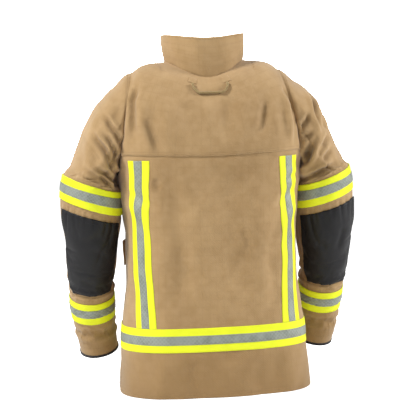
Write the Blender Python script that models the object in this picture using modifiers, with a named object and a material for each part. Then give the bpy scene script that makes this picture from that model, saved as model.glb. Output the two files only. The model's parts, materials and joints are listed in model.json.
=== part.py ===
"""A firefighter's turnout coat, standing as if worn, with its closures shut and its sleeves hanging.

Metres, +Z up. The origin is on the hem plane, midway between the side seams. The wearer faces -Y, so +X is the
wearer's left. Every cloth layer is a sheet laid on one of three smooth surfaces, the body, the collar and the
sleeve, at its own distance from the surface, and given its thickness by Solidify.
"""

import math

import bmesh
import bpy
from mathutils import Matrix, Vector

# ---- driving dimensions -------------------------------------------------------------------------------------------

# Body sections from hem to neck: heights at the side, back and front, half width, back depth, squareness.
BODY_SECTIONS = (
    (0.000, 0.000, 0.000, 0.205, 0.150, 2.7),  # hem
    (0.122, 0.122, 0.122, 0.198, 0.146, 2.7),  # hem band
    (0.260, 0.260, 0.260, 0.184, 0.138, 2.8),  # waist
    (0.410, 0.410, 0.405, 0.186, 0.138, 3.0),  # under the arms
    (0.527, 0.517, 0.502, 0.200, 0.136, 3.2),  # shoulder blades
    (0.620, 0.588, 0.563, 0.197, 0.122, 3.0),  # shoulder point
    (0.689, 0.640, 0.614, 0.156, 0.096, 2.6),  # top of the armhole
    (0.708, 0.670, 0.634, 0.084, 0.072, 2.0),  # neck seam
)
NECK = len(BODY_SECTIONS) - 1
FRONT_DEPTH_AT_HEM = 0.150
FRONT_SLOPE = 0.038 / 0.650  # the front closes along a straight line that leans back this much

ARMHOLE_CENTRE_Z, ARMHOLE_HALF_HEIGHT, ARMHOLE_HALF_DEPTH = 0.584, 0.1065, 0.085

# Sleeve rings below the armhole: centre x, y, z, radius outwards, radius front to back, roll and pitch in degrees.
SLEEVE_RINGS = (
    (0.1945, 0.002, 0.5680, 0.1020, 0.088, 92.5, 0.0),  # head
    (0.2195, 0.002, 0.5465, 0.0890, 0.090, 78.0, 0.0),
    (0.2330, 0.002, 0.5140, 0.0745, 0.087, 61.0, 2.0),
    (0.2440, 0.001, 0.4810, 0.0645, 0.082, 40.0, 4.0),
    (0.2520, 0.000, 0.4550, 0.0635, 0.078, 19.0, 5.0),  # top of the upper band
    (0.2570, -0.004, 0.4090, 0.0665, 0.075, 18.5, 6.0),
    (0.2590, -0.010, 0.3620, 0.0630, 0.069, 14.0, 8.0),
    (0.2585, -0.020, 0.3210, 0.0570, 0.064, 6.0, 14.0),  # elbow
    (0.2600, -0.036, 0.2800, 0.0525, 0.058, 1.0, 19.0),
    (0.2590, -0.058, 0.2270, 0.0495, 0.0545, -2.0, 22.0),
    (0.2555, -0.084, 0.1600, 0.0465, 0.0505, -4.0, 20.0),
    (0.2440, -0.110, 0.0780, 0.0425, 0.0455, -8.0, 18.0),  # cuff
)
CUFF = float(len(SLEEVE_RINGS))
UPPER_BAND = (5.0, 6.07)
PAD_TOP, PAD_BOTTOM = 6.40, 9.95
FOREARM_BAND = (10.31, 11.00)
CUFF_BINDING_START = 11.88
PAD_LINES = slice(1, 9)  # which of the sleeve's lengthwise lines the pad spans, from the outer side round the back

# Distances from the surface of each layer's inner face, and the layers' thicknesses.
SHELL_OUT, SHELL_THICK = -0.0020, 0.0020
BARRIER_OUT, BARRIER_THICK = -0.0065, 0.0010
LINER_OUT, LINER_THICK = -0.0125, 0.0025
TRIM_OUT, TRIM_THICK = 0.0012, 0.0009
STRIPE_OUT, STRIPE_THICK = 0.0028, 0.0006
PAD_OUT, PAD_THICK = 0.0012, 0.0030

TRIM_WIDTH, STRIPE_WIDTH = 0.050, 0.019
HEM_BAND_BOTTOM = 0.097
YOKE_SEAM = 3.87
BRACE_TOP_Z, BRACE_X_TOP, BRACE_X_BOTTOM = 0.499, 0.160, 0.155
FRONT_BRACE_X = 0.146
FRONT_EDGE = 0.009
SIDE_SEAM = 0.006  # half the gap left between panels at the side seams, in radians
HANG_LOOP_Z = 0.655

SHOULDER_PIVOT = Vector((0.232, 0.0, 0.562))
SHOULDER_LEAN = math.radians(18.0)
SHOULDER_RAISE = 50.0
ELBOW_PIVOT = Vector((0.2585, -0.030, 0.323))
ELBOW_PITCH = math.radians(15.0)
ELBOW_BEND = 80.0
JOINT_GAP = 0.0015

COLLAR_BACK, COLLAR_SIDE, COLLAR_FRONT, COLLAR_LEAN = 0.756, 0.768, 0.726, 0.006
FLAP_X, FLAP_BOTTOM, FLAP_TOP = 0.038, 0.006, 0.594
ZIP_BOTTOM, ZIP_TOP = 0.022, 0.612
SLIDER_Z, SLIDER_LENGTH = 0.572, 0.026
POST_RADIUS, PULL_LENGTH = 0.0020, 0.036

AROUND_BODY = 40
AROUND_SLEEVE = 20

TAN, TAN_DARK, BLACK = (0.46, 0.32, 0.18), (0.36, 0.25, 0.14), (0.012, 0.012, 0.014)
LIME, SILVER = (0.72, 0.88, 0.02), (0.42, 0.45, 0.45)
KNIT, QUILT, FILM, STEEL = (0.02, 0.02, 0.022), (0.50, 0.44, 0.30), (0.62, 0.62, 0.58), (0.55, 0.55, 0.56)


# ---- the scene ------------------------------------------------------------------------------------------------------

for old in list(bpy.data.objects):
    bpy.data.objects.remove(old)
coat = bpy.data.collections.new("turnout_coat")
cutters = bpy.data.collections.new("cutters")
bpy.context.scene.collection.children.link(coat)
bpy.context.scene.collection.children.link(cutters)


def material(name, colour, roughness, metallic=0.0):
    """The material of that name, made the first time it is asked for."""
    made = bpy.data.materials.get(name)
    if made is None:
        made = bpy.data.materials.new(name)
        made.use_nodes = True
        shader = made.node_tree.nodes["Principled BSDF"]
        shader.inputs["Base Color"].default_value = (*colour, 1.0)
        shader.inputs["Roughness"].default_value = roughness
        shader.inputs["Metallic"].default_value = metallic
        made.diffuse_color = (*colour, 1.0)
    return made


MATERIALS = {
    "tan": ("tan_shell", TAN, 0.85),
    "seam": ("tan_webbing", TAN_DARK, 0.9),
    "black": ("black_reinforcement", BLACK, 0.7),
    "lime": ("lime_tape", LIME, 0.6),
    "silver": ("silver_stripe", SILVER, 0.35, 0.3),
    "knit": ("black_knit", KNIT, 0.95),
    "quilt": ("quilted_liner", QUILT, 0.9),
    "film": ("moisture_barrier", FILM, 0.5),
    "steel": ("steel", STEEL, 0.3, 1.0),
}


# ---- curves through values ------------------------------------------------------------------------------------------


def through(values, t):
    """The smooth curve through a list of numbers or vectors, at position t along the list."""
    last = len(values) - 1
    i = min(max(int(t), 0), last - 1)
    f = t - i
    a, b, c, d = (values[min(max(k, 0), last)] for k in (i - 1, i, i + 1, i + 2))
    bend = (a * 2 - b * 5 + c * 4 - d) * f + (b * 3 - a - c * 3 + d) * f * f
    return b + ((c - a) + bend) * (f * 0.5)


def solve(function, low, high, target):
    """The argument between low and high at which a rising function reaches the target."""
    for _ in range(40):
        middle = (low + high) / 2
        if function(middle) < target:
            low = middle
        else:
            high = middle
    return (low + high) / 2


def spread(start, end, steps):
    return [start + (end - start) * k / steps for k in range(steps + 1)]


# ---- the body surface -----------------------------------------------------------------------------------------------


def section(t):
    """Side, back and front height, half width, back and front depth and squareness of the body at section t."""
    side, back, front, width, depth, square = (through(column, t) for column in zip(*BODY_SECTIONS))
    return side, back, front, width, depth, FRONT_DEPTH_AT_HEM - FRONT_SLOPE * front, square


def body_surface(angle, t):
    """The body's surface. Angle 0 is the wearer's left, a quarter turn is the back."""
    side, back, front, width, back_depth, front_depth, square = section(t)
    c, s = math.cos(angle), math.sin(angle)
    depth, end = (back_depth, back) if s > 0 else (front_depth, front)
    radius = (abs(c / width) ** square + abs(s / depth) ** square) ** (-1 / square)
    return Vector((radius * c, radius * s, side + (end - side) * s * s))


def outward(surface, u, v, step=1e-3):
    across = surface(u + step, v) - surface(u - step, v)
    along = surface(u, v + step) - surface(u, v - step)
    return across.cross(along).normalized()


def body(angle, t, out=0.0):
    t = min(max(t, 0.002), NECK - 0.002)
    return body_surface(angle, t) + outward(body_surface, angle, t) * out


def body_angle(t, x=None, y=None, facing=1):
    """The angle at which section t reaches this x, on the back (facing 1) or front (-1), or this y."""
    _, _, _, width, back_depth, front_depth, square = section(t)
    if y is None:
        depth = back_depth if facing > 0 else front_depth
        share = min(abs(x) / width, 0.9999)
        return math.atan2(facing * depth * (1 - share**square) ** (1 / square), x)
    depth = back_depth if y > 0 else front_depth
    share = min(abs(y) / depth, 0.9999)
    return math.atan2(y, width * (1 - share**square) ** (1 / square))


def body_at(x, z, facing, out=0.0):
    """The point of the body over x and z, on the back (facing 1) or the front (-1)."""
    t = solve(lambda k: body_surface(body_angle(k, x=x, facing=facing), k).z, 0.0, NECK, z)
    return body(body_angle(t, x=x, facing=facing), t, out)


FRONT_UP = Vector((0.0, FRONT_SLOPE, 1.0)).normalized()
FRONT_NORMAL = Vector((0.0, -1.0, FRONT_SLOPE)).normalized()


def front_line(x, z, out):
    """The front near the closing line, which is flat across and straight from hem to neck."""
    return Vector((x, FRONT_SLOPE * z - FRONT_DEPTH_AT_HEM, z)) + FRONT_NORMAL * out


# ---- the sleeve surface ---------------------------------------------------------------------------------------------


def armhole(angle, half_height=ARMHOLE_HALF_HEIGHT, half_depth=ARMHOLE_HALF_DEPTH):
    """The left armhole seam. Angle 0 is its top, a quarter turn its back."""
    y = half_depth * math.sin(angle)
    z = ARMHOLE_CENTRE_Z + half_height * math.cos(angle)
    t = solve(lambda k: body_surface(body_angle(k, y=y), k).z, 2.0, NECK, z)
    return body_surface(body_angle(t, y=y), t)


def ring_point(ring, angle):
    x, y, z, radius_out, radius_back, roll, pitch = ring
    roll, pitch = math.radians(roll), math.radians(pitch)
    out_axis = Vector((math.cos(roll), 0.0, math.sin(roll)))
    back_axis = Vector((0.0, math.cos(pitch), -math.sin(pitch)))
    return Vector((x, y, z)) + out_axis * radius_out * math.cos(angle) + back_axis * radius_back * math.sin(angle)


def sleeve_surface(angle, s):
    """The left sleeve's surface. Angle 0 is the outer side, a quarter turn the back; s runs from armhole to cuff."""
    first = max(int(s) - 1, 0)
    near = [
        armhole(angle) + Vector((0.005, 0, 0)) if k == 0 else ring_point(SLEEVE_RINGS[k - 1], angle)
        for k in range(first, min(first + 4, len(SLEEVE_RINGS) + 1))
    ]
    return through(near, s - first)


def sleeve(angle, s, out=0.0):
    s = min(max(s, 0.002), CUFF - 0.002)
    return sleeve_surface(angle, s) - outward(sleeve_surface, angle, s) * out


def turned(normal, axis, degrees):
    return Matrix.Rotation(math.radians(degrees), 3, axis) @ normal


SHOULDER_AXIS = Vector((0.0, -1.0, 0.0))  # a positive turn raises the left sleeve
ELBOW_AXIS = Vector((-1.0, 0.0, 0.0))  # a positive turn brings the forearm forwards
SHOULDER_NORMAL = Vector((math.cos(SHOULDER_LEAN), 0.0, -math.sin(SHOULDER_LEAN)))
ELBOW_NORMAL = Vector((0.0, -math.sin(ELBOW_PITCH), -math.cos(ELBOW_PITCH)))


def past(point, pivot, axis, normal, opens, closes, side):
    """How far a point is beyond a joint's V-shaped cut. Side -1 is the part before the joint, 1 the part after."""
    planes = (turned(normal, axis, side * a / 2) for a in (-opens, closes))
    distances = [(point - pivot).dot(n) for n in planes]
    return max(distances) if side < 0 else min(distances)


def cut_station(angle, joint, side, low, high):
    """The station along one line of the sleeve at which a part ends before a joint, or starts after it."""
    pivot, axis, normal, opens, closes = joint
    return solve(
        lambda s: past(sleeve_surface(angle, s), pivot, axis, normal, opens, closes, side),
        low,
        high,
        side * JOINT_GAP,
    )


SHOULDER = (SHOULDER_PIVOT, SHOULDER_AXIS, SHOULDER_NORMAL, SHOULDER_RAISE + 2, 0.0)
ELBOW = (ELBOW_PIVOT, ELBOW_AXIS, ELBOW_NORMAL, ELBOW_BEND + 3, 3.0)


# ---- the collar surface ---------------------------------------------------------------------------------------------


def collar(angle, share, out=0.0):
    """The stand collar at a share of its height, rising from the neck seam and leaning out a little."""
    seam = body_surface(angle, NECK)
    plan = Vector((seam.x, seam.y, 0.0)).normalized()
    end = COLLAR_BACK if seam.y > 0 else COLLAR_FRONT
    top = COLLAR_SIDE + (end - COLLAR_SIDE) * math.sin(angle) ** 2
    bottom = seam.z + 0.0025
    return seam + plan * (COLLAR_LEAN * share + out) + Vector((0.0, 0.0, bottom + (top - bottom) * share - seam.z))


# ---- building solids ------------------------------------------------------------------------------------------------


def place(name, mesh, look):
    made = bpy.data.objects.new(name, mesh)
    mesh.materials.clear()
    mesh.materials.append(material(*MATERIALS[look]))
    coat.objects.link(made)
    return made


def sheet(name, rows, thickness, look, closed=False):
    """A sheet through rows of points, thickened outwards. Each row runs anticlockwise seen from above."""
    mesh = bpy.data.meshes.new(name)
    cloth = bmesh.new()
    grid = [[cloth.verts.new(point) for point in row] for row in rows]
    across = len(rows[0])
    for low, high in zip(grid, grid[1:]):
        for k in range(across if closed else across - 1):
            n = (k + 1) % across
            cloth.faces.new((low[k], low[n], high[n], high[k]))
    cloth.to_mesh(mesh)
    cloth.free()
    mesh.shade_smooth()
    made = place(name, mesh, look)
    solidify = made.modifiers.new("thickness", "SOLIDIFY")
    solidify.thickness = thickness
    solidify.offset = 1.0
    return made


def tube(name, lines, stops, out, thickness, look, side, closed=True, pivot=None):
    """A sheet round the sleeve, or part of the way, with a ring at each stop from armhole to cuff.

    A stop is a station, or a function of the angle that gives one. Side 1 is the left sleeve and side -1 mirrors it
    to the right. Rings are laid from the cuff end, so that their faces point out.
    """
    rows = []
    for stop in reversed(stops):
        row = []
        for angle in lines:
            point = sleeve(angle, stop(angle) if callable(stop) else stop, out)
            row.append(Vector((point.x * side, point.y, point.z)))
        rows.append(row if side > 0 else row[::-1])
    made = sheet(name, rows, thickness, look, closed)
    if pivot:
        hinge_at(made, Vector((pivot.x * side, pivot.y, pivot.z)))


def between(start, end, steps):
    """Stops evenly between two stops, both included."""

    def at(stop, angle):
        return stop(angle) if callable(stop) else stop

    return [lambda angle, f=f: at(start, angle) * (1 - f) + at(end, angle) * f for f in spread(0.0, 1.0, steps)]


def prism(name, outline, length, look):
    """A flat outline in its own x and y, extruded along its own z and centred on it."""
    data = bpy.data.curves.new(name, "CURVE")
    data.dimensions = "2D"
    data.fill_mode = "BOTH"
    data.extrude = length / 2
    for loop in outline:
        spline = data.splines.new("POLY")
        spline.points.add(len(loop) - 1)
        for point, (x, y) in zip(spline.points, loop):
            point.co = (x, y, 0.0, 1.0)
        spline.use_cyclic_u = True
    return place(name, data, look)


def hinge_at(made, point):
    """Puts an object's origin on its joint's axis, leaving its shape where it is."""
    made.data.transform(Matrix.Translation(made.location - point))
    made.location = point


def wire(name, points, radius, look, cyclic=False):
    data = bpy.data.curves.new(name, "CURVE")
    data.dimensions = "3D"
    data.bevel_depth = radius
    data.bevel_resolution = 1
    data.use_fill_caps = not cyclic
    spline = data.splines.new("POLY")
    spline.points.add(len(points) - 1)
    for point, co in zip(spline.points, points):
        point.co = (*co, 1.0)
    spline.use_cyclic_u = cyclic
    return place(name, data, look)


def as_mesh(made):
    """Turns a curve object into a closed mesh object that takes a Boolean."""
    bpy.context.view_layer.update()
    graph = bpy.context.evaluated_depsgraph_get()
    mesh = bpy.data.meshes.new_from_object(made.evaluated_get(graph))
    welded = bmesh.new()
    welded.from_mesh(mesh)
    bmesh.ops.remove_doubles(welded, verts=welded.verts, dist=1e-6)
    welded.to_mesh(mesh)
    welded.free()
    name, matrix = made.name, made.matrix_world.copy()
    bpy.data.objects.remove(made)
    solid = bpy.data.objects.new(name, mesh)
    solid.matrix_world = matrix
    coat.objects.link(solid)
    return solid


def cutter(made):
    """Moves an object out of the coat, to be used only by Booleans."""
    for owner in made.users_collection:
        owner.objects.unlink(made)
    cutters.objects.link(made)
    made.hide_render = True
    made.display_type = "WIRE"
    return made


def combine(made, other, operation):
    boolean = made.modifiers.new(operation.lower(), "BOOLEAN")
    boolean.operation = operation
    boolean.object = other


# ---- shell, liner and collar ----------------------------------------------------------------------------------------


def body_sheet(name, first, last, around, bottom, top, rows, out, thickness, look):
    angles = spread(first, last, around)
    return sheet(name, [[body(a, t, out) for a in angles] for t in spread(bottom, top, rows)], thickness, look)


def armhole_cutter(side, half_height, half_depth):
    bpy.ops.mesh.primitive_cylinder_add(
        vertices=32,
        radius=1.0,
        depth=0.160,
        location=(side * 0.200, 0.0, ARMHOLE_CENTRE_Z),
        rotation=(0.0, math.pi / 2, 0.0),
        scale=(half_height, half_depth, 1.0),
    )
    made = bpy.context.object
    made.name = f"armhole_cutter_{'left' if side > 0 else 'right'}"
    return cutter(made)


def front_edge_angle(t, side, gap):
    return body_angle(t, x=side * gap, facing=-1)


def front_panel(name, side, out, thickness, look, around, rows, bottom, gap):
    """Half of the front, from the side seam to the closing edge, whose x is the same all the way up."""
    grid = []
    for t in spread(bottom, NECK, rows):
        edge = front_edge_angle(t, side, gap)
        edge += 2 * math.pi if edge < 0 else 0.0
        ends = (edge, 2 * math.pi - SIDE_SEAM) if side > 0 else (math.pi + SIDE_SEAM, edge)
        grid.append([body(a, t, out) for a in spread(*ends, around)])
    return sheet(name, grid, thickness, look)


def shell_and_liner():
    holes = [armhole_cutter(side, ARMHOLE_HALF_HEIGHT, ARMHOLE_HALF_DEPTH) for side in (1, -1)]
    half = AROUND_BODY // 2
    back = (SIDE_SEAM, math.pi - SIDE_SEAM, half)
    shell = (SHELL_OUT, SHELL_THICK, "tan")
    panels = [
        body_sheet("back_panel", *back, 0, YOKE_SEAM - 0.008, 8, *shell),
        body_sheet("back_yoke", *back, YOKE_SEAM + 0.008, NECK, 6, *shell),
        front_panel("left_front_panel", 1, *shell, 10, 12, 0.0, FRONT_EDGE),
        front_panel("right_front_panel", -1, *shell, 10, 12, 0.0, FRONT_EDGE),
    ]
    first, last = -0.25 * 2 * math.pi + 0.22, 1.5 * math.pi - 0.22
    for name, out, thickness, look in (
        ("moisture_barrier", BARRIER_OUT, BARRIER_THICK, "film"),
        ("thermal_liner", LINER_OUT, LINER_THICK, "quilt"),
    ):
        panels.append(body_sheet(name, first, last, half, 0.45, NECK - 0.1, 7, out, thickness, look))
    for panel in panels:
        panel.modifiers.new("flat_facets", "TRIANGULATE")
        for word, hole in zip(("left", "right"), holes):
            other = "right" if word == "left" else "left"
            if not panel.name.startswith(other):
                combine(panel, hole, "DIFFERENCE")


def hem_facing():
    """A stiffening strip inside the hem, flat on its lower edge, where the coat rests."""

    def edge(out):
        ends = spread(-math.pi / 2 + 0.20, 1.5 * math.pi - 0.20, 36)
        return [(p.x, p.y) for p in (body(a, 0.0, out) for a in ends)]

    made = prism("hem_facing", [edge(-0.0050) + edge(-0.0078)[::-1]], 0.026, "seam")
    made.location.z = 0.013


def collar_parts():
    start = -math.pi / 2 + 0.05
    angles = spread(start, math.pi - start, 24)
    for name, out, thickness, look, low in (
        ("collar", -0.0030, 0.0030, "tan", 0.0),
        ("collar_lining", -0.0062, 0.0018, "black", 0.05),
    ):
        rows = [[collar(a, h, out) for a in angles] for h in spread(low, 1 - low, 2)]
        sheet(name, rows, thickness, look)


# ---- closing: zip, storm flap, throat tab ---------------------------------------------------------------------------


def along_front(made, z):
    """Sets a prism's own z down the front line and its own y out of the front, at height z."""
    axes = Matrix((Vector((1.0, 0.0, 0.0)), FRONT_NORMAL, -FRONT_UP)).transposed().to_4x4()
    axes.translation = front_line(0.0, z, 0.0)
    made.matrix_world = axes
    return made


def zip_parts():
    top, bottom = -0.0010, -0.0060
    bead, tape, tape_front, tape_back = 0.0038, 0.022, -0.0035, -0.0045
    profile = (
        (0.0008, top),
        (bead, top),
        (bead, tape_front),
        (tape, tape_front),
        (tape, tape_back),
        (bead, tape_back),
        (bead, bottom),
        (0.0008, bottom),
    )
    length, middle = ZIP_TOP - ZIP_BOTTOM, (ZIP_TOP + ZIP_BOTTOM) / 2
    for name, side in (("zip_tape_left", 1), ("zip_tape_right", -1)):
        outline = [(side * x, y) for x, y in profile]
        along_front(prism(name, [outline], length, "black"), middle)

    wing, web = 0.0065, 0.0004
    outline = (
        (-wing, 0.0016),
        (-wing, -0.0002),
        (-web, -0.0005),
        (-web, bottom - 0.0006),
        (-wing, bottom - 0.0009),
        (-wing, bottom - 0.0024),
    )
    mirrored = [(-x, y) for x, y in reversed(outline)]
    slider = as_mesh(along_front(prism("zip_slider", [list(outline) + mirrored], SLIDER_LENGTH, "steel"), SLIDER_Z))
    slider.data.materials.clear()
    slider.data.materials.append(material(*MATERIALS["steel"]))
    post = front_line(0.0, SLIDER_Z, 0.0040)
    bpy.ops.mesh.primitive_cylinder_add(
        vertices=16,
        radius=POST_RADIUS,
        depth=0.0060,
        location=post,
        rotation=FRONT_NORMAL.to_track_quat("Z", "Y").to_euler(),
    )
    stud = bpy.context.object
    stud.name = "slider_post"
    combine(slider, cutter(stud), "UNION")

    eye, half = 0.0026, 0.0050
    upper = [(half * math.sin(a), half * math.cos(a)) for a in spread(-math.pi / 2, math.pi / 2, 8)]
    outline = upper + [(half, -PULL_LENGTH), (-half, -PULL_LENGTH)]
    hole = [(eye * math.cos(a), eye * math.sin(a)) for a in spread(0, 2 * math.pi, 12)[:-1]]
    pull = prism("zip_pull", [outline, hole], 0.0016, "black")
    axes = Matrix((Vector((1.0, 0.0, 0.0)), FRONT_UP, FRONT_NORMAL)).transposed().to_4x4()
    axes.translation = front_line(0.0, SLIDER_Z, 0.0052)
    pull.matrix_world = axes


def storm_flap():
    """The flap is sewn to the left front and bows out over the zip."""
    profile = [(FLAP_X * math.cos(a), 0.0048 + 0.0062 * math.sin(a) ** 0.7) for a in spread(math.pi, 0.0, 8)]
    profile = [(x, max(out, 0.0048)) for x, out in profile]
    heights = spread(FLAP_BOTTOM, FLAP_TOP, 6)
    rows = [[front_line(x, z, out) for x, out in profile] for z in heights]
    flap = sheet("storm_flap", rows, 0.0028, "tan")
    hinge_at(flap, front_line(FLAP_X, 0.0, 0.0048))


def throat_tab():
    start, end = collar_angle(-0.062), collar_angle(0.048)
    rows = [[collar(a, h, 0.0015) for a in spread(start, end, 8)] for h in (0.22, 0.70)]
    tab = sheet("throat_tab", rows, 0.0025, "tan")
    hinge_at(tab, collar(end, 0.22, 0.0015))


def collar_angle(x):
    """The angle at which the front of the neck seam reaches this x."""
    return body_angle(NECK, x=x, facing=-1)


# ---- pockets, loops and rings ---------------------------------------------------------------------------------------


POCKET_COLUMNS = (0.0, 0.08, 0.32, 0.56, 0.76, 0.92, 1.0)


def pocket(name, x_from, x_to, bottom, top, depth):
    """A bellows pocket, open at the top, laid on the front."""
    rows = []
    for f in (0.0, 0.07, 0.5, 1.0):
        row = []
        for g in POCKET_COLUMNS:
            proud = 0.0 if f == 0.0 or g in (0.0, 1.0) else depth
            row.append(body_at(x_from + (x_to - x_from) * g, bottom + (top - bottom) * f, -1, 0.0014 + proud))
        rows.append(row)
    return sheet(name, rows, 0.0016, "tan")


def pocket_flap(name, x_from, x_to, pocket_top, drop, depth):
    """A flap hinged above the pocket's mouth, which folds over the pocket's face."""
    columns = [x_from + (x_to - x_from) * g for g in POCKET_COLUMNS]
    columns[0] -= 0.002
    columns[-1] += 0.002
    outs = ((-drop, depth + 0.0045), (-0.012, depth + 0.0045), (0.006, depth + 0.0035), (0.016, 0.0018))
    rows = [[body_at(x, pocket_top + dz, -1, out) for x in columns] for dz, out in outs]
    flap = sheet(name, rows, 0.0020, "tan")
    hinge_at(flap, hinge_point(rows[-1]) - Vector((0.0, 0.0025, 0.0)))


def hinge_point(row):
    """The point of a curved sewn edge that stands furthest out from the line through its ends."""
    along = (row[-1] - row[0]).normalized()
    return max(row, key=lambda point: (point - row[0]).cross(along).length)


def hang_loop():
    """A cord loop below the collar, its ends at the neck seam."""
    half, sag = 0.038, 0.020
    points = []
    for a in spread(0.0, math.pi, 12):
        x = half * math.cos(a)
        drop = sag * min(1.0, 1.35 * math.sin(a))
        points.append(body_at(x, HANG_LOOP_Z - drop, 1, 0.0060))
    loop = wire("hang_loop", points, 0.0028, "seam")
    hinge_at(loop, (points[0] + points[-1]) / 2)


def torch_ring():
    """A D-ring held in a folded tab on the right chest."""
    x, z, radius = -0.085, 0.500, 0.0042
    wall = body_at(x, z, -1, 0.0)
    normal = (body_at(x, z, -1, 0.01) - wall).normalized()
    across = Vector((normal.y, -normal.x, 0.0)).normalized() * -1
    up = normal.cross(across).normalized()
    up = up if up.z > 0 else -up
    bar = wall + normal * (0.0016 + radius)
    fold = [(-radius, 0.032), (-radius, 0.012)]
    fold += [(-radius * math.cos(a), -radius * math.sin(a)) for a in spread(0.0, math.pi, 6)]
    fold += [(radius, 0.014)]
    half = 0.011
    rows = [[bar + normal * n + up * u + across * side * half for n, u in fold] for side in (1, -1)]
    tab = sheet("torch_tab", rows, 0.0010, "seam")
    tab.modifiers["thickness"].offset = -1.0
    loop = [bar + across * 0.0135, bar - across * 0.0135]
    loop += [
        bar - up * (0.004 + 0.0150 * math.sin(a)) - across * 0.0150 * math.cos(a) for a in spread(0.0, math.pi, 10)
    ]
    hinge_at(wire("torch_ring", loop, 0.0016, "steel", cyclic=True), bar)


# ---- reflective trim ------------------------------------------------------------------------------------------------


def hem_trim():
    for name, width, out, thickness, look in (
        ("hem_band", TRIM_WIDTH, TRIM_OUT, TRIM_THICK, "lime"),
        ("hem_stripe", STRIPE_WIDTH, STRIPE_OUT, STRIPE_THICK, "silver"),
    ):
        middle = HEM_BAND_BOTTOM + TRIM_WIDTH / 2
        rows = []
        for z in (middle - width / 2, middle + width / 2):
            t = solve(lambda k: body_surface(0.0, k).z, 0.0, 3.0, z)
            first = body_angle(t, x=0.012, facing=-1)
            rows.append([body(a, t, out) for a in spread(first, math.pi - first, 44)])
        sheet(name, rows, thickness, look)


def brace(name, facing, side, x_top, x_bottom, top, bottom):
    """A vertical tape with its silver stripe."""
    for suffix, width, out, thickness, look in (
        ("brace", TRIM_WIDTH, TRIM_OUT, TRIM_THICK, "lime"),
        ("brace_stripe", STRIPE_WIDTH, STRIPE_OUT, STRIPE_THICK, "silver"),
    ):
        rows = []
        for f in spread(0.0, 1.0, 8):
            t = solve(lambda k: body_surface(0.8 * facing, k).z, 0.0, NECK, bottom + (top - bottom) * f)
            middle = body_angle(t, x=side * (x_bottom + (x_top - x_bottom) * f), facing=facing)
            reach = body_surface(middle, t)
            half = width / 2 / math.hypot(reach.x, reach.y)
            rows.append([body(middle + half * k, t, out) for k in (-1, -0.33, 0.33, 1)])
        sheet(f"{name}_{suffix}", rows, thickness, look)


# ---- sleeves --------------------------------------------------------------------------------------------------------


def sleeve_parts(word, side):
    lines = spread(0.0, 2 * math.pi, AROUND_SLEEVE)[:-1]

    def ends_at(joint, part, low, high):
        return lambda angle: cut_station(angle, joint, part, low, high)

    cap_end = ends_at(SHOULDER, -1, 0.0, 5.0)
    arm_start = ends_at(SHOULDER, 1, 0.0, 5.0)
    arm_end = ends_at(ELBOW, -1, 5.5, 10.0)
    forearm_start = ends_at(ELBOW, 1, 5.5, 10.0)
    shell = (SHELL_OUT, SHELL_THICK, "tan", side)
    liner = (LINER_OUT + 0.004, 0.0020, "quilt", side)
    pad = (PAD_OUT, PAD_THICK, "black", side, False)
    above_pad, below_pad = between(PAD_TOP, arm_end, 2), between(forearm_start, PAD_BOTTOM, 2)
    arm, forearm = {"pivot": SHOULDER_PIVOT}, {"pivot": ELBOW_PIVOT}
    tube(f"{word}_sleeve_cap", lines, between(0.0, cap_end, 3), *shell)
    upper = between(arm_start, UPPER_BAND[0], 2)
    tube(f"{word}_upper_sleeve", lines, upper + [UPPER_BAND[1]] + above_pad, *shell, **arm)
    tube(f"{word}_upper_sleeve_liner", lines[::2], upper + above_pad, *liner, **arm)
    tube(f"{word}_elbow_pad_upper", lines[PAD_LINES], above_pad, *pad, **arm)
    lower = below_pad + [*FOREARM_BAND, CUFF_BINDING_START - 0.02]
    tube(f"{word}_forearm_sleeve", lines, lower, *shell, **forearm)
    tube(f"{word}_forearm_liner", lines[::2], between(forearm_start, 11.2, 3), *liner, **forearm)
    tube(f"{word}_elbow_pad_lower", lines[PAD_LINES], below_pad, *pad, **forearm)
    tube(f"{word}_cuff_binding", lines, [CUFF_BINDING_START, CUFF], -0.0020, 0.0032, "black", side, **forearm)
    tube(f"{word}_wristlet", lines[::2], [11.28, CUFF - 0.02], -0.0095, 0.0025, "knit", side, **forearm)
    for name, (start, end), body_part in (("upper_band", UPPER_BAND, arm), ("forearm_band", FOREARM_BAND, forearm)):
        edge = (end - start) * (1 - STRIPE_WIDTH / TRIM_WIDTH) / 2
        tube(f"{word}_{name}", lines, [start, end], TRIM_OUT, TRIM_THICK, "lime", side, **body_part)
        stripe = (STRIPE_OUT, STRIPE_THICK, "silver", side)
        tube(f"{word}_{name}_stripe", lines, [start + edge, end - edge], *stripe, **body_part)


def centre_over_origin():
    """Moves everything front to back so that the coat's bounding box is centred over the origin."""
    bpy.context.view_layer.update()
    graph = bpy.context.evaluated_depsgraph_get()
    depths = []
    for made in coat.objects:
        shape = made.evaluated_get(graph).to_mesh()
        depths += [(made.matrix_world @ vertex.co).y for vertex in shape.vertices]
    for made in [*coat.objects, *cutters.objects]:
        made.location.y -= (min(depths) + max(depths)) / 2


shell_and_liner()
hem_facing()
collar_parts()
zip_parts()
storm_flap()
throat_tab()
hem_trim()
hang_loop()
torch_ring()
CARGO = dict(bottom=0.163, top=0.318, depth=0.022)
for word, side in (("left", 1), ("right", -1)):
    x_from, x_to = sorted((side * 0.052, side * 0.160))
    pocket(f"{word}_cargo_pocket", x_from, x_to, **CARGO)
    pocket_flap(f"{word}_pocket_flap", x_from, x_to, CARGO["top"], 0.055, CARGO["depth"])
    brace(f"{word}_back", 1, side, BRACE_X_TOP, BRACE_X_BOTTOM, BRACE_TOP_Z, 0.1505)
    brace(f"{word}_front", -1, side, FRONT_BRACE_X, FRONT_BRACE_X, BRACE_TOP_Z, 0.345)
    sleeve_parts(word, side)
pocket("radio_pocket", 0.048, 0.112, 0.400, 0.510, 0.026)
pocket_flap("radio_pocket_flap", 0.048, 0.112, 0.510, 0.045, 0.026)
centre_over_origin()
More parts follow.
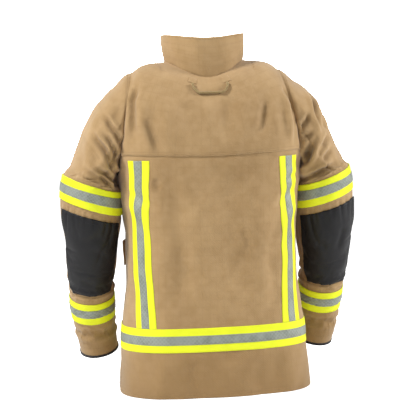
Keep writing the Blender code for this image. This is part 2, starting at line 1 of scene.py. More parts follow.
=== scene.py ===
"""The looks of a firefighter's turnout coat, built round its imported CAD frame.

Metres, +Z up, the wearer facing -Y with their left at +X. The cloth follows the same smooth body, collar and
sleeve surfaces as the CAD. Folds are heights over the surface, and a short cloth run settles the sleeves.
"""

import json
import math

import bpy
import numpy as np
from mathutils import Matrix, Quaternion, Vector


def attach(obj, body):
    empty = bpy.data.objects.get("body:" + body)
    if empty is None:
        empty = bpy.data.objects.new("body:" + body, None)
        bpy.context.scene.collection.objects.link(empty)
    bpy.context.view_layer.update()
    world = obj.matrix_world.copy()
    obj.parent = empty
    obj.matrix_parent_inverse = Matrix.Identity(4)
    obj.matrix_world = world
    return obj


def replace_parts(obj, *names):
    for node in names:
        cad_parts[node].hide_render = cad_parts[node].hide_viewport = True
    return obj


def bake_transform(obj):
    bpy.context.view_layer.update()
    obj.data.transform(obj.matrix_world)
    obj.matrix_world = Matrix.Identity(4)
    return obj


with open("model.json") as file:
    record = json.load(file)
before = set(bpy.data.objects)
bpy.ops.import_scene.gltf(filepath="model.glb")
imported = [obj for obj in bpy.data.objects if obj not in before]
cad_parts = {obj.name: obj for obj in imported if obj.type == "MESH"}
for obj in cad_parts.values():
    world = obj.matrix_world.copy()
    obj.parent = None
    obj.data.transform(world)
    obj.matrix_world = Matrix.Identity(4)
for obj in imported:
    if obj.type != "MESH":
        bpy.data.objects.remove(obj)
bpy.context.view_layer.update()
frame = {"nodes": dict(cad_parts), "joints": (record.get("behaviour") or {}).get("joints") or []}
JOINTS = {joint["name"]: joint for joint in frame["joints"]}
SHIFT = JOINTS["left_shoulder_raise"]["pos_m"][1]  # the CAD's body axis is this far behind the origin
PI = math.pi
SIDES = (("left", 1), ("right", -1))

# ---- the coat's surfaces, as in the CAD ----

BODY = np.array(
    (
        (0.000, 0.000, 0.000, 0.205, 0.150, 2.7),
        (0.122, 0.122, 0.122, 0.198, 0.146, 2.7),
        (0.260, 0.260, 0.260, 0.184, 0.138, 2.8),
        (0.410, 0.410, 0.405, 0.186, 0.138, 3.0),
        (0.527, 0.517, 0.502, 0.200, 0.136, 3.2),
        (0.620, 0.588, 0.563, 0.197, 0.122, 3.0),
        (0.689, 0.640, 0.614, 0.156, 0.096, 2.6),
        (0.708, 0.670, 0.634, 0.084, 0.072, 2.0),
    )
)
NECK = len(BODY) - 1.0
FRONT_SLOPE = 0.038 / 0.65
HOLE_Z, HOLE_HALF_Z, HOLE_HALF_Y = 0.584, 0.1065, 0.085
RINGS = np.array(
    (
        (0.1945, 0.002, 0.5680, 0.1020, 0.088, 92.5, 0.0),
        (0.2195, 0.002, 0.5465, 0.0890, 0.090, 78.0, 0.0),
        (0.2330, 0.002, 0.5140, 0.0745, 0.087, 61.0, 2.0),
        (0.2440, 0.001, 0.4810, 0.0645, 0.082, 40.0, 4.0),
        (0.2520, 0.000, 0.4550, 0.0635, 0.078, 19.0, 5.0),
        (0.2570, -0.004, 0.4090, 0.0665, 0.075, 18.5, 6.0),
        (0.2590, -0.010, 0.3620, 0.0630, 0.069, 14.0, 8.0),
        (0.2585, -0.020, 0.3210, 0.0570, 0.064, 6.0, 14.0),
        (0.2600, -0.036, 0.2800, 0.0525, 0.058, 1.0, 19.0),
        (0.2590, -0.058, 0.2270, 0.0495, 0.0545, -2.0, 22.0),
        (0.2555, -0.084, 0.1600, 0.0465, 0.0505, -4.0, 20.0),
        (0.2440, -0.110, 0.0780, 0.0425, 0.0455, -8.0, 18.0),
    )
)
CUFF = float(len(RINGS))
YOKE = 3.87
UPPER_BAND, FOREARM_BAND = (5.0, 6.07), (10.31, 11.00)
PAD_TOP, PAD_BOTTOM = 6.4, 9.95
COLLAR_BACK, COLLAR_SIDE, COLLAR_FRONT, COLLAR_LEAN = 0.756, 0.768, 0.726, 0.006
TAPE, STRIPE = 0.05, 0.019
SHELL = 0.002  # thickness of the outer cloth
FRONT_EDGE = 0.009  # each front panel stops this far from the middle
FLAP_HALF = 0.038  # half the storm flap's width
QUILT_PITCH, QUILT_PUFF = 0.042, 0.0026
PAD_FROM, PAD_TO = 0.36, 2.7  # the elbow pad's sides, as angles round the sleeve
LOOP_HALF, LOOP_SAG = 0.038, 0.02
FOLD_GAIN, FOLD_DEPTH, FOLD_RISE = 1.15, 0.013, 0.01  # the sleeves' folds are scaled, then kept within these
SETTLE_FRAMES, SETTLE_REACH = 18, 0.007
BRACE_TOP, FLAP_TOP, ZIP_TOP, LOOP_Z = 0.499, 0.594, 0.612, 0.655
CUFF_EDGE = 11.88
AMBIENT = 0.38
LIGHTS = (
    ("key", (2.3, 0.85, 2.9), 0.6, 112),
    ("rim", (-3.0, 0.5, 1.8), 0.8, 85),
    ("front", (1.5, -3.0, 2.0), 2.0, 45),
)
CAMERA_AZIMUTH, CAMERA_REACH, CAMERA_HEIGHT = 172.5, 3.0, 0.55
CAMERA_AIM, CAMERA_ROLL, CAMERA_LENS = (-0.004, 0.0, 0.385), -2.0, 117.6


def vec(x, y, z):
    return np.stack(np.broadcast_arrays(x, y, z), -1).astype(float)


def unit(v):
    return v / np.maximum(np.linalg.norm(v, axis=-1, keepdims=True), 1e-12)


def smooth(x, low, high):
    x = np.clip((x - low) / (high - low), 0, 1)
    return x * x * (3 - 2 * x)


def through(rows, t):
    """The smooth curve through a table's rows at positions t."""
    last = len(rows) - 1
    t = np.asarray(t, float)
    i = np.clip(np.floor(t).astype(int), 0, last - 1)
    a, b, c, d = (rows[np.clip(i + k, 0, last)] for k in (-1, 0, 1, 2))
    return blend4(a, b, c, d, (t - i)[..., None])


def blend4(a, b, c, d, f):
    return b + ((c - a) + (a * 2 - b * 5 + c * 4 - d) * f + (b * 3 - a - c * 3 + d) * f * f) * (f * 0.5)


def section(t):
    side, back, front, width, depth, square = np.moveaxis(through(BODY, t), -1, 0)
    return side, back, front, width, depth, 0.15 - FRONT_SLOPE * front, square


def body_surface(a, t):
    side, back, front, width, back_depth, front_depth, square = section(t)
    c, s = np.cos(a), np.sin(a)
    depth, end = np.where(s > 0, back_depth, front_depth), np.where(s > 0, back, front)
    radius = (np.abs(c / width) ** square + np.abs(s / depth) ** square) ** (-1 / square)
    return vec(radius * c, radius * s + SHIFT, side + (end - side) * s * s)


def body_angle(t, x, facing):
    _, _, _, width, back_depth, front_depth, square = section(t)
    depth = back_depth if facing > 0 else front_depth
    share = np.minimum(np.abs(x) / width, 0.9999)
    return np.arctan2(facing * depth * (1 - share**square) ** (1 / square), x)


def bisect(rising, low, high, target):
    target = np.asarray(target, float)
    low, high = np.full(target.shape, float(low)), np.full(target.shape, float(high))
    for _ in range(32):
        middle = (low + high) / 2
        below = rising(middle) < target
        low, high = np.where(below, middle, low), np.where(below, high, middle)
    return (low + high) / 2


def normals(surface, u, v):
    step = 2e-3
    across = surface(u + step, v) - surface(u - step, v)
    along = surface(u, v + step) - surface(u, v - step)
    return unit(np.cross(across, along))


def over(x, z, facing):
    """Angle and section of the body's point over x and z, on the back (1) or the front (-1)."""
    x, z = np.broadcast_arrays(np.asarray(x, float), np.asarray(z, float))
    t = bisect(lambda k: body_surface(body_angle(k, x, facing), k)[..., 2], 0.0, NECK, z)
    return body_angle(t, x, facing), t


# ---- folds ----


def fold(flat, height, width, *line):
    """A ridge, or a valley where the height is negative, along a line over a flattened surface.

    The height, the width and the line are in mm, and flat and the result are in metres.
    It is steeper on one side, dies away at both ends, and pushes the cloth the other way just beside itself.
    """
    line, height, width = np.array(line, float).reshape(-1, 2) / 1000, height / 1000, width / 1000
    run = lengths(line)
    best, side, at = np.full(flat.shape[:-1], 9.0), np.zeros(flat.shape[:-1]), np.zeros(flat.shape[:-1])
    for start, end, begun in zip(line, line[1:], run):
        along = end - start
        length = np.linalg.norm(along)
        f = np.clip((flat - start) @ along / length**2, 0, 1)
        away = flat - start - along * f[..., None]
        distance = np.linalg.norm(away, axis=-1)
        nearer = distance < best
        best = np.where(nearer, distance, best)
        side = np.where(nearer, np.sign(along[0] * away[..., 1] - along[1] * away[..., 0]), side)
        at = np.where(nearer, (begun + f * length) / run[-1], at)
    ends = smooth(at, -0.05, 0.22) * (1 - smooth(at, 0.62, 1.06))
    beside = np.exp(-(((side * best - 1.7 * width) / (1.2 * width)) ** 2))
    return height * ends * (np.exp(-((best / width) ** 2)) - 0.5 * beside)


def ripple(points, waves):
    """Low, broad unevenness from a few crossing waves: each is (height, wavelength, direction, phase)."""
    total = np.zeros(points.shape[:-1])
    for height, length, direction, phase in waves:
        k = unit(np.array(direction, float)) * 2 * PI / length
        warp = 0.9 * np.sin(points @ (k[[2, 0, 1]] * 0.61) + phase * 1.7)
        total += height * np.sin(points @ k + phase + warp)
    return total


BODY_WAVES = (
    (0.0011, 0.17, (1, 0.4, 0.1), 0.6),
    (0.0008, 0.095, (1, -0.5, 0.22), 2.1),
    (0.0007, 0.13, (0.4, 0.2, 1), 4.0),
    (0.0004, 0.052, (0.8, 0.3, 0.7), 1.1),
    (0.0003, 0.043, (-0.7, 0.5, 0.8), 5.2),
)
# Folds as height, width, and a line of x and z, all in mm, on the back and then on the front.
BACK_FOLDS = (
    # beside the armholes
    (-9.5, 5.5, 150, 660, 164, 625, 166, 545),
    (4, 13, 141, 630, 145, 580, 143, 525),
    (-8.5, 6, -154, 650, -172, 610, -176, 520),
    (5, 11, -150, 640, -168, 590, -170, 520),
    # yoke
    (-6.5, 7, 140, 590, 116, 515),
    (3, 16, 104, 640, 98, 560, 84, 500),
    (-3.8, 15, 60, 620, 52, 530),
    (3.6, 15, 14, 625, 8, 520),
    (-3, 15, -30, 630, -26, 520),
    (3, 14, -70, 630, -64, 530),
    (-6, 9, -116, 620, -94, 545),
    (3.8, 13, -134, 640, -136, 530),
    # back panel: pulls from the underarms, kinks across the braces, soft drapes, the flare below the band
    (-3.6, 8.5, 176, 440, 150, 418, 118, 392),
    (3.8, 11, 180, 418, 150, 378, 124, 330),
    (-4, 6, 128, 462, 118, 436),
    (-3.6, 8.5, -178, 434, -146, 410, -120, 380),
    (3.8, 11, -178, 405, -150, 360, -128, 310),
    (-2.8, 6.5, -180, 462, -150, 450),
    (-4.2, 22, 92, 480, 80, 340, 70, 190),
    (4, 26, 30, 460, 40, 300, 34, 165),
    (-3.6, 21, -30, 480, -26, 340, -36, 200),
    (4.4, 22, -80, 470, -90, 320, -78, 170),
    (-3, 9, -52, 350, -70, 300),
    (-3.6, 14, -110, 300, -122, 180),
    (4.6, 20, 122, 90, 128, 45, 136, -20),
    (-4, 20, 60, 85, 62, 40, 66, -20),
    (4, 24, 0, 80, -4, 40, -10, -20),
    (-4.2, 20, -70, 85, -76, 40, -82, -20),
    (4.4, 18, -138, 90, -142, 40, -148, -20),
)
FRONT_FOLDS = (
    (-4.5, 10, 160, 600, 150, 560, 120, 520),
    (-5, 10, -160, 600, -150, 555, -116, 515),
    (3.4, 13, 78, 610, 88, 540),
    (3, 12, -70, 610, -66, 560),
    (-3.6, 9, 184, 450, 160, 420, 130, 390),
    (-3.6, 9, -184, 450, -156, 425, -120, 400),
    (3, 16, -90, 440, -98, 340),
    (4, 18, 112, 85, 116, 40, 122, -20),
    (3.8, 18, -108, 85, -114, 40, -120, -20),
    (-3.4, 16, 170, 300, 176, 180),
    (-3.4, 16, -170, 300, -176, 180),
)


def hole_share(points):
    """0 at the middle of the armhole's outline and 1 along it, squared."""
    y, z = points[..., 1] - SHIFT, points[..., 2]
    return (y / HOLE_HALF_Y) ** 2 + ((z - HOLE_Z) / HOLE_HALF_Z) ** 2


def round_hole(points):
    """How far points are from the armhole seam, in metres, positive outside it."""
    return (np.sqrt(hole_share(points)) - 1) * (HOLE_HALF_Y + HOLE_HALF_Z) / 2


def drape(points, t):
    """How far the body's cloth stands off the smooth surface."""
    total = ripple(points, BODY_WAVES)
    flat, y = points[..., [0, 2]], points[..., 1] - SHIFT
    for folds, facing in ((BACK_FOLDS, 1), (FRONT_FOLDS, -1)):
        part = sum(fold(flat, *row) for row in folds)
        total += part * smooth(y * facing, -0.02, 0.05)
    wide = np.abs(points[..., 0])
    total += 0.003 * smooth(wide, 0.165, 0.184) * bump(points[..., 2], 0.385, 0.45, 0.04)
    near = round_hole(points) * (wide > 0.1) + 9.0 * (wide <= 0.1)
    total += 0.0026 * np.exp(-(((near - 0.014) / 0.009) ** 2)) - 0.0022 * np.exp(-((near / 0.006) ** 2))
    seam = (t - YOKE) * 0.115
    total -= 0.0012 * np.exp(-(((seam + 0.002) / 0.004) ** 2)) * (y > 0)
    closing = (y < 0) * (1 - smooth(wide, 0.045, 0.075))
    return total * (1 - smooth(t, 6.2, 6.9)) * (1 - 0.9 * closing)


def cloth_body(a, t, off=0.0):
    """The draped body, with off metres added outwards."""
    t = np.clip(t, 0.004, NECK - 0.004)
    points = body_surface(a, t)
    height = drape(points, t) + off
    return points + normals(body_surface, a, t) * np.asarray(height)[..., None]


# ---- sleeves ----


def armhole_line(a, scale=1.0):
    """Angle and section of the body along the left armhole seam, or along a line beside it."""
    y = HOLE_HALF_Y * scale * np.sin(a)
    z = HOLE_Z + HOLE_HALF_Z * scale * np.cos(a)

    def angle(t):
        _, _, _, width, back_depth, front_depth, square = section(t)
        depth = np.where(y > 0, back_depth, front_depth)
        share = np.minimum(np.abs(y) / depth, 0.9999)
        return np.arctan2(y, width * (1 - share**square) ** (1 / square))

    t = bisect(lambda k: body_surface(angle(k), k)[..., 2], 2.0, NECK, z)
    return angle(t), t


ROUND = np.linspace(0, 2 * PI, 721)
ARMHOLE_UT = armhole_line(ROUND)
ARMHOLE_P = body_surface(*ARMHOLE_UT)


def on_armhole(a, values):
    """Values known along the armhole seam, at angles a round it."""
    return np.stack([np.interp(a % (2 * PI), ROUND, column) for column in values.T], -1)


def ring(k, a):
    x, y, z, out, back, roll, pitch = np.moveaxis(RINGS[np.maximum(k - 1, 0)], -1, 0)
    roll, pitch = np.radians(roll), np.radians(pitch)
    c, s = out * np.cos(a), back * np.sin(a)
    made = vec(x + np.cos(roll) * c, y + SHIFT + np.cos(pitch) * s, z + np.sin(roll) * c - np.sin(pitch) * s)
    return np.where((k == 0)[..., None], on_armhole(a, ARMHOLE_P) + (0.002, 0, 0), made)


def sleeve_surface(a, s):
    a, s = np.broadcast_arrays(np.asarray(a, float), np.asarray(s, float))
    last = len(RINGS)
    i = np.clip(np.floor(s).astype(int), 0, last - 1)
    near = [ring(np.clip(i + k, 0, last), a) for k in (-1, 0, 1, 2)]
    return blend4(*near, (s - i)[..., None])


ROWS, COLUMNS = 168, 120
# The sleeves' folds in the same way, with x counted outwards on both sides.
SLEEVE_BACK_FOLDS = {
    1: (
        (-8, 5.5, 186, 450, 220, 502, 232, 536),
        (-8, 5.5, 184, 444, 219, 475, 262, 500),
        (-9, 6, 191, 452, 192, 478, 190, 510),
        (-6.5, 5, 197, 505, 214, 540, 236, 568),
        (-5.5, 5, 192, 530, 206, 572),
        (-6, 4.5, 208, 449, 245, 478),
        (6, 8, 200, 475, 232, 512, 256, 548),
        (-6, 5, 204, 560, 222, 590, 236, 602),
        (-5.5, 5, 226, 520, 246, 550, 254, 574),
        (-5, 5, 240, 470, 272, 492),
        (-2.8, 6, 236, 590, 250, 570),
        (4, 11, 268, 480, 262, 540, 248, 580),
        (-3, 8, 226, 300, 262, 312),
        (-2.8, 7, 284, 250, 250, 236),
        (-2.6, 9, 236, 345, 282, 330),
        (-2.6, 8, 222, 120, 262, 132),
    ),
    -1: (
        (7, 6, 216, 640, 226, 606, 242, 545),
        (-8, 5.5, 231, 626, 233, 590, 246, 560),
        (-7.5, 5.5, 194, 560, 220, 592),
        (-7, 5, 194, 538, 226, 550),
        (-9, 6.5, 200, 490, 212, 514, 212, 534),
        (7.5, 6, 184, 450, 214, 484, 226, 512, 244, 545),
        (-7.5, 5, 190, 446, 232, 466, 280, 486),
        (-5, 5, 244, 520, 266, 548),
        (-5.5, 5.5, 240, 492, 274, 520),
        (-4.5, 5, 252, 586, 262, 556),
        (-3.4, 8, 230, 310, 256, 300),
        (-3, 8, 222, 262, 262, 250),
        (-4, 7, 286, 345, 272, 290),
        (-2.6, 8, 224, 130, 258, 118),
    ),
}
SLEEVE_FRONT_FOLDS = (
    (-7.5, 6.5, 188, 452, 216, 486, 240, 530),
    (-7, 6, 190, 446, 226, 468, 270, 492),
    (-6, 6.5, 186, 470, 196, 520, 198, 560),
    (5, 8, 206, 480, 236, 516),
    (-3, 8, 210, 560, 230, 590),
    (-6.5, 6.5, 212, 366, 250, 352, 298, 362),
    (-8.5, 7, 206, 338, 250, 322, 300, 334),
    (-6.5, 6.5, 210, 300, 252, 292, 296, 306),
    (-4, 6.5, 214, 268, 250, 262),
)


def settle(points, hold):
    """Lets a closed sleeve, a little too long for its length, buckle between the places that hold it."""
    rows, columns = points.shape[:2]
    mesh = bpy.data.meshes.new("settling")
    cell = np.arange(rows * columns).reshape(rows, columns)
    turn = np.roll(cell, -1, 1)
    quads = np.stack([cell[:-1], turn[:-1], turn[1:], cell[1:]], -1).reshape(-1, 4)
    mesh.from_pydata(points.reshape(-1, 3).tolist(), [], quads.tolist())
    cloth = bpy.data.objects.new("settling", mesh)
    bpy.context.scene.collection.objects.link(cloth)
    group = cloth.vertex_groups.new(name="hold")
    for row in range(rows):
        group.add(cell[row].tolist(), float(hold[row]), "REPLACE")
    run = cloth.modifiers.new("settle", "CLOTH")
    run.settings.quality = 6
    run.settings.mass = 0.25
    run.settings.tension_stiffness = run.settings.compression_stiffness = 12
    run.settings.shear_stiffness = 4
    run.settings.bending_stiffness = 0.5
    run.settings.shrink_min = -0.075
    run.settings.vertex_group_mass = "hold"
    run.settings.pin_stiffness = 1.0
    run.settings.effector_weights.gravity = 0.25
    run.collision_settings.use_collision = False
    run.point_cache.frame_start, run.point_cache.frame_end = 1, SETTLE_FRAMES
    scene = bpy.context.scene
    for number in range(1, SETTLE_FRAMES + 1):
        scene.frame_set(number)
    graph = bpy.context.evaluated_depsgraph_get()
    settled = cloth.evaluated_get(graph).to_mesh()
    found = np.zeros(rows * columns * 3, np.float32)
    settled.vertices.foreach_get("co", found)
    bpy.data.objects.remove(cloth)
    scene.frame_set(1)
    return found.reshape(points.shape).astype(float)


class Sleeve:
    """A sleeve's draped surface, sampled smoothly from a grid of points. The right one is mirrored."""

    def __init__(self, side):
        self.side = side
        s = np.linspace(0, CUFF, ROWS)
        a = np.linspace(0, 2 * PI, COLUMNS, endpoint=False)
        aa, ss = np.meshgrid(a, s)
        base = sleeve_surface(aa, ss)
        out = -normals(sleeve_surface, aa, np.clip(ss, 0.002, CUFF - 0.002))
        taped = np.maximum(bump(ss, *UPPER_BAND), bump(ss, *FOREARM_BAND))
        padded = bump(ss, PAD_TOP, PAD_BOTTOM) * smooth(np.sin(aa), -0.05, 0.3)
        inner_side = np.exp(-(((aa - PI) / 0.55) ** 2))
        full = 0.003 * bump(ss, 0.5, 1.4, 0.5) + 0.0025 * bump(ss, 3.6, 6.2, 0.9) * inner_side
        points = base + out * full[..., None]
        # the seam follows the body's folds
        seam_u, seam_t = ARMHOLE_UT
        lift = drape(ARMHOLE_P * (side, 1, 1), seam_t)[:, None] + 0.0012
        lift = on_armhole(aa, normals(body_surface, seam_u, seam_t) * lift)
        points += lift * (1 - smooth(ss, 0.0, 0.9))[..., None]
        points = self.settled(points, ss, taped, padded)
        self.points = points + out * self.folded(base, aa, ss, taped, padded)[..., None]
        self.out = self.directions(out)

    def folded(self, base, aa, ss, taped, padded):
        """How far the folds stand off the sleeve: flat under the tapes, lower under the pad and at both ends."""
        height = ripple(base * (self.side, 1, 1), BODY_WAVES) * 0.9
        flat = base[..., [0, 2]]
        for folds, facing in ((SLEEVE_BACK_FOLDS[self.side], 1), (SLEEVE_FRONT_FOLDS, -1)):
            part = sum(fold(flat, *row) for row in folds)
            height += part * smooth(np.sin(aa) * facing, -0.1, 0.35)
        height = np.clip(FOLD_GAIN * height, -FOLD_DEPTH, FOLD_RISE)
        height *= (1 - 0.92 * taped) * smooth(ss, 0.0, 0.5) * (1 - 0.7 * smooth(ss, 11.5, CUFF))
        return height * (1 - 0.35 * padded)

    def settled(self, points, ss, taped, padded):
        """The points after the cloth run, each kept within its limit."""
        s = ss[:, 0]
        hold = np.clip(np.maximum(bump(s, *UPPER_BAND), bump(s, *FOREARM_BAND)) * 0.8, 0, 1)
        hold = np.maximum(hold, np.maximum(1 - smooth(s, 0.0, 0.35), smooth(s, 11.3, 11.7)))
        hold = np.maximum(hold, 0.12 * bump(s, PAD_TOP, PAD_BOTTOM))
        moved = settle(points, hold) - points
        length = np.linalg.norm(moved, axis=-1, keepdims=True)
        free = (1 - 0.6 * padded) * (1 - 0.85 * taped) * (0.04 + 0.96 * smooth(ss, 0.3, 1.6))
        limit = SETTLE_REACH * free[..., None]
        return points + moved * (limit * np.tanh(length / limit) / np.maximum(length, 1e-9))

    def directions(self, out):
        """The way each layer is raised, evened out so that the layers of a narrow fold don't cross."""
        around = np.roll(self.points, -1, 1) - np.roll(self.points, 1, 1)
        raised = unit(np.cross(np.gradient(self.points, axis=0), around))
        raised *= np.sign((raised * out).sum(-1, keepdims=True))
        for _ in range(8):
            raised = np.roll(raised, 1, 1) + 2 * raised + np.roll(raised, -1, 1)
            raised[1:-1] = raised[:-2] + 2 * raised[1:-1] + raised[2:]
            raised = unit(raised)
        return raised

    def sample(self, table, a, s):
        i = np.clip(s, 0, CUFF) / CUFF * (ROWS - 1)
        j = (a % (2 * PI)) / (2 * PI) * COLUMNS
        i0 = np.clip(np.floor(i).astype(int), 0, ROWS - 2)
        j0 = np.floor(j).astype(int)
        fi, fj = (i - i0)[..., None], (j - j0)[..., None]
        rows = []
        for k in (-1, 0, 1, 2):
            r = np.clip(i0 + k, 0, ROWS - 1)
            rows.append(blend4(*(table[r, (j0 + m) % COLUMNS] for m in (-1, 0, 1, 2)), fj))
        return blend4(*rows, fi)

    def __call__(self, a, s, off=0.0):
        a, s = np.broadcast_arrays(np.asarray(a, float), np.asarray(s, float))
        point = self.sample(self.points, a, s) + unit(self.sample(self.out, a, s)) * np.asarray(off)[..., None]
        return point * (self.side, 1, 1)


def bump(x, low, high, soft=0.25):
    """1 between low and high, falling to 0 on either side."""
    return smooth(x, low - soft, low) * (1 - smooth(x, high, high + soft))


def collar(a, share, off=0.0):
    seam = body_surface(a, np.full(np.shape(a), NECK))
    flat = unit(seam * (1, 1, 0) - (0, SHIFT, 0))
    end = np.where(seam[..., 1] > SHIFT, COLLAR_BACK, COLLAR_FRONT)
    top = COLLAR_SIDE + (end - COLLAR_SIDE) * np.sin(a) ** 2
    bottom = seam[..., 2] - 0.002
    wave = 0.0012 * np.sin(a * 5 + 0.7) * share + 0.001 * np.sin(a * 9 + share * 3)
    lean = COLLAR_LEAN * share + 0.002 * np.sin(share * PI) + wave + off
    return seam * (1, 1, 0) + flat * np.asarray(lean)[..., None] + vec(0, 0, bottom + (top - bottom) * share)


# ---- materials ----


class Look:
    """A material's node tree, with short calls to add and link nodes."""

    def __init__(self, name):
        self.material = bpy.data.materials.new(name)
        self.material.use_nodes = True
        self.tree = self.material.node_tree
        self.shader = self.tree.nodes["Principled BSDF"]
        self.spot = 0
        where = self.add("TexCoord")
        self.flat, self.solid = where.outputs["UV"], where.outputs["Object"]

    def add(self, kind, **inputs):
        node = self.tree.nodes.new("ShaderNode" + kind)
        self.spot += 1
        node.location = (-240 * (self.spot % 6) - 240, -220 * (self.spot // 6))
        for key, value in inputs.items():
            key = key.replace("_", " ")
            if key in node.inputs:
                self.put(node.inputs[key], value)
        return node

    def put(self, socket, value):
        if isinstance(value, bpy.types.NodeSocket):
            self.tree.links.new(value, socket)
        else:
            socket.default_value = value

    def math(self, operation, a, b):
        node = self.add("Math")
        node.operation = operation
        self.put(node.inputs[0], a)
        self.put(node.inputs[1], b)
        return node.outputs[0]

    def mix(self, factor, a, b):
        node = self.add("Mix")
        node.data_type = "RGBA"
        self.put(node.inputs[0], factor)
        self.put(node.inputs[6], a)
        self.put(node.inputs[7], b)
        return node.outputs[2]

    def tint(self, value, share, a, b):
        """Colour a with b showing by value times share."""
        return self.mix(self.math("MULTIPLY", value, share), a, b)

    def plus(self, base, value, share):
        return self.math("ADD", base, self.math("MULTIPLY", value, share))

    def bump(self, height, strength, distance):
        return self.add("Bump", Height=height, Strength=strength, Distance=distance).outputs[0]

    def noise(self, vector, scale, detail=3.0, rough=0.55):
        return self.add("TexNoise", Vector=vector, Scale=scale, Detail=detail, Roughness=rough).outputs[0]

    def ramp(self, value, low, high):
        return self.add("MapRange", Value=value, From_Min=low, From_Max=high).outputs[0]

    def waves(self, vector, per_metre, angle):
        """Bands across the cloth, as threads lie, at an angle in degrees."""
        turned = self.add("Mapping", Vector=vector, Rotation=(0, 0, math.radians(angle)))
        wave = self.add("TexWave", Vector=turned.outputs[0], Scale=per_metre / 20 * PI)
        wave.bands_direction = "X"
        wave.wave_profile = "SIN"
        return wave.outputs["Fac"]

    def finish(self, **inputs):
        for key, value in inputs.items():
            self.put(self.shader.inputs[key.replace("_", " ")], value)
        return self.material


def rgb(red, green, blue):
    """A screen colour from 0 to 255, as linear light."""
    return tuple(((c / 255 + 0.055) / 1.055) ** 2.4 for c in (red, green, blue)) + (1.0,)


def woven(name, colour, dark, light, per_metre=700, twill=45.0, relief=0.35, ripstop=0.0, darker_at_bottom=0.0):
    """A woven cloth: two sets of threads, uneven dye, soiling in broad patches, paler worn edges, painted shade
    in creases and hollows, and an optional darkening towards the bottom.
    """
    look = Look(name)
    flat, solid = look.flat, look.solid
    warp, weft = look.waves(flat, per_metre, twill), look.waves(flat, per_metre * 0.8, twill + 90)
    weave = look.math("MULTIPLY", look.math("ADD", warp, weft), 0.5)
    fuzz = look.noise(flat, 900, 2)
    patch = look.ramp(look.noise(solid, 7, 4, 0.6), 0.36, 0.66)
    fine = look.ramp(look.noise(solid, 60, 3), 0.35, 0.65)
    shade = look.tint(patch, 0.55, colour, dark)
    shade = look.tint(fine, 0.22, shade, light)
    shade = look.tint(weave, 0.2, shade, dark)
    edge = look.ramp(look.add("NewGeometry").outputs["Pointiness"], 0.53, 0.6)
    shade = look.tint(edge, 0.45, shade, light)
    # painted shade: ambient occlusion darkens creases, folds and hollows towards a deep version of the dark
    # colour
    crease_occlusion = look.add("AmbientOcclusion", Distance=0.022)
    crease_occlusion.samples, crease_occlusion.only_local = 2, True
    painted_crease_shade = look.ramp(crease_occlusion.outputs["AO"], 0.94, 0.4)
    shade = look.tint(painted_crease_shade, 0.75, shade, tuple(c * 0.42 for c in dark[:3]) + (1.0,))
    height = look.plus(weave, fuzz, 0.5)
    # darker towards the bottom: below about 0.17 m up, most at the lowest edges
    if darker_at_bottom:
        z = look.add("SeparateXYZ", Vector=solid).outputs["Z"]
        low = look.ramp(look.plus(z, patch, -0.03), 0.17, 0.01)
        shade = look.tint(low, darker_at_bottom, shade, dark)
    if ripstop:
        bars = [look.ramp(look.waves(flat, ripstop, angle), 0.965, 1.0) for angle in (0, 90)]
        grid = look.math("MAXIMUM", *bars)
        height = look.plus(height, grid, 0.8)
        shade = look.tint(grid, 0.16, shade, dark)
    bumped = look.bump(height, relief, 0.0005)
    roughness = look.plus(0.82, fuzz, 0.12)
    return look.finish(
        Base_Color=shade, Roughness=roughness, Normal=bumped, Specular_IOR_Level=0.25,
        Sheen_Weight=0.25, Sheen_Roughness=0.5,
    )


def tape(name, colour, dark):
    """Fluorescent tape: a fine square weave under a bright, slightly glossy dye, and a faint painted glow in its
    own colour.
    """
    look = Look(name)
    flat, solid = look.flat, look.solid
    weave = look.math("MULTIPLY", look.waves(flat, 900, 0), look.waves(flat, 900, 90))
    patch = look.ramp(look.noise(solid, 16, 4), 0.4, 0.72)
    shade = look.tint(patch, 0.35, colour, dark)
    shade = look.tint(weave, 0.12, shade, dark)
    bumped = look.bump(weave, 0.25, 0.0004)
    # painted glow: a little emission in the tape's own colour makes it shine without any lamp
    return look.finish(
        Base_Color=shade, Roughness=0.62, Normal=bumped, Specular_IOR_Level=0.3,
        Emission_Color=colour, Emission_Strength=0.1,
    )


def mirror_stripe(name):
    """Retroreflective stripe: grey glass beads pressed with a fine crossed pattern, scuffed in patches."""
    look = Look(name)
    flat, solid = look.flat, look.solid
    cross = look.math("MAXIMUM", look.waves(flat, 330, 45), look.waves(flat, 330, 135))
    lines = look.ramp(cross, 0.9, 1.0)
    beads = look.add("TexVoronoi", Vector=flat, Scale=2200.0).outputs["Distance"]
    scuff = look.ramp(look.noise(solid, 40, 5, 0.65), 0.45, 0.72)
    shade = look.mix(scuff, rgb(146, 152, 141), rgb(118, 125, 114))
    shade = look.tint(lines, 0.35, shade, rgb(182, 190, 186))
    height = look.plus(beads, lines, 0.6)
    bumped = look.bump(height, 0.2, 0.0003)
    roughness = look.plus(0.48, scuff, 0.2)
    return look.finish(Base_Color=shade, Roughness=roughness, Metallic=0.2, Normal=bumped)


def coated(name, colour, light):
    """Rubber-coated reinforcement: a pebbled face, dusty and rubbed paler where it stands proud."""
    look = Look(name)
    flat, solid = look.flat, look.solid
    pebble = look.add("TexVoronoi", Vector=flat, Scale=650.0).outputs["Distance"]
    weave = look.waves(flat, 500, 45)
    dust = look.ramp(look.noise(solid, 18, 5, 0.62), 0.42, 0.75)
    edge = look.ramp(look.add("NewGeometry").outputs["Pointiness"], 0.52, 0.58)
    shade = look.tint(dust, 0.45, colour, light)
    shade = look.tint(edge, 0.5, shade, light)
    height = look.plus(pebble, weave, 0.4)
    bumped = look.bump(height, 0.35, 0.0006)
    roughness = look.plus(0.5, dust, 0.22)
    return look.finish(Base_Color=shade, Roughness=roughness, Normal=bumped, Specular_IOR_Level=0.3)


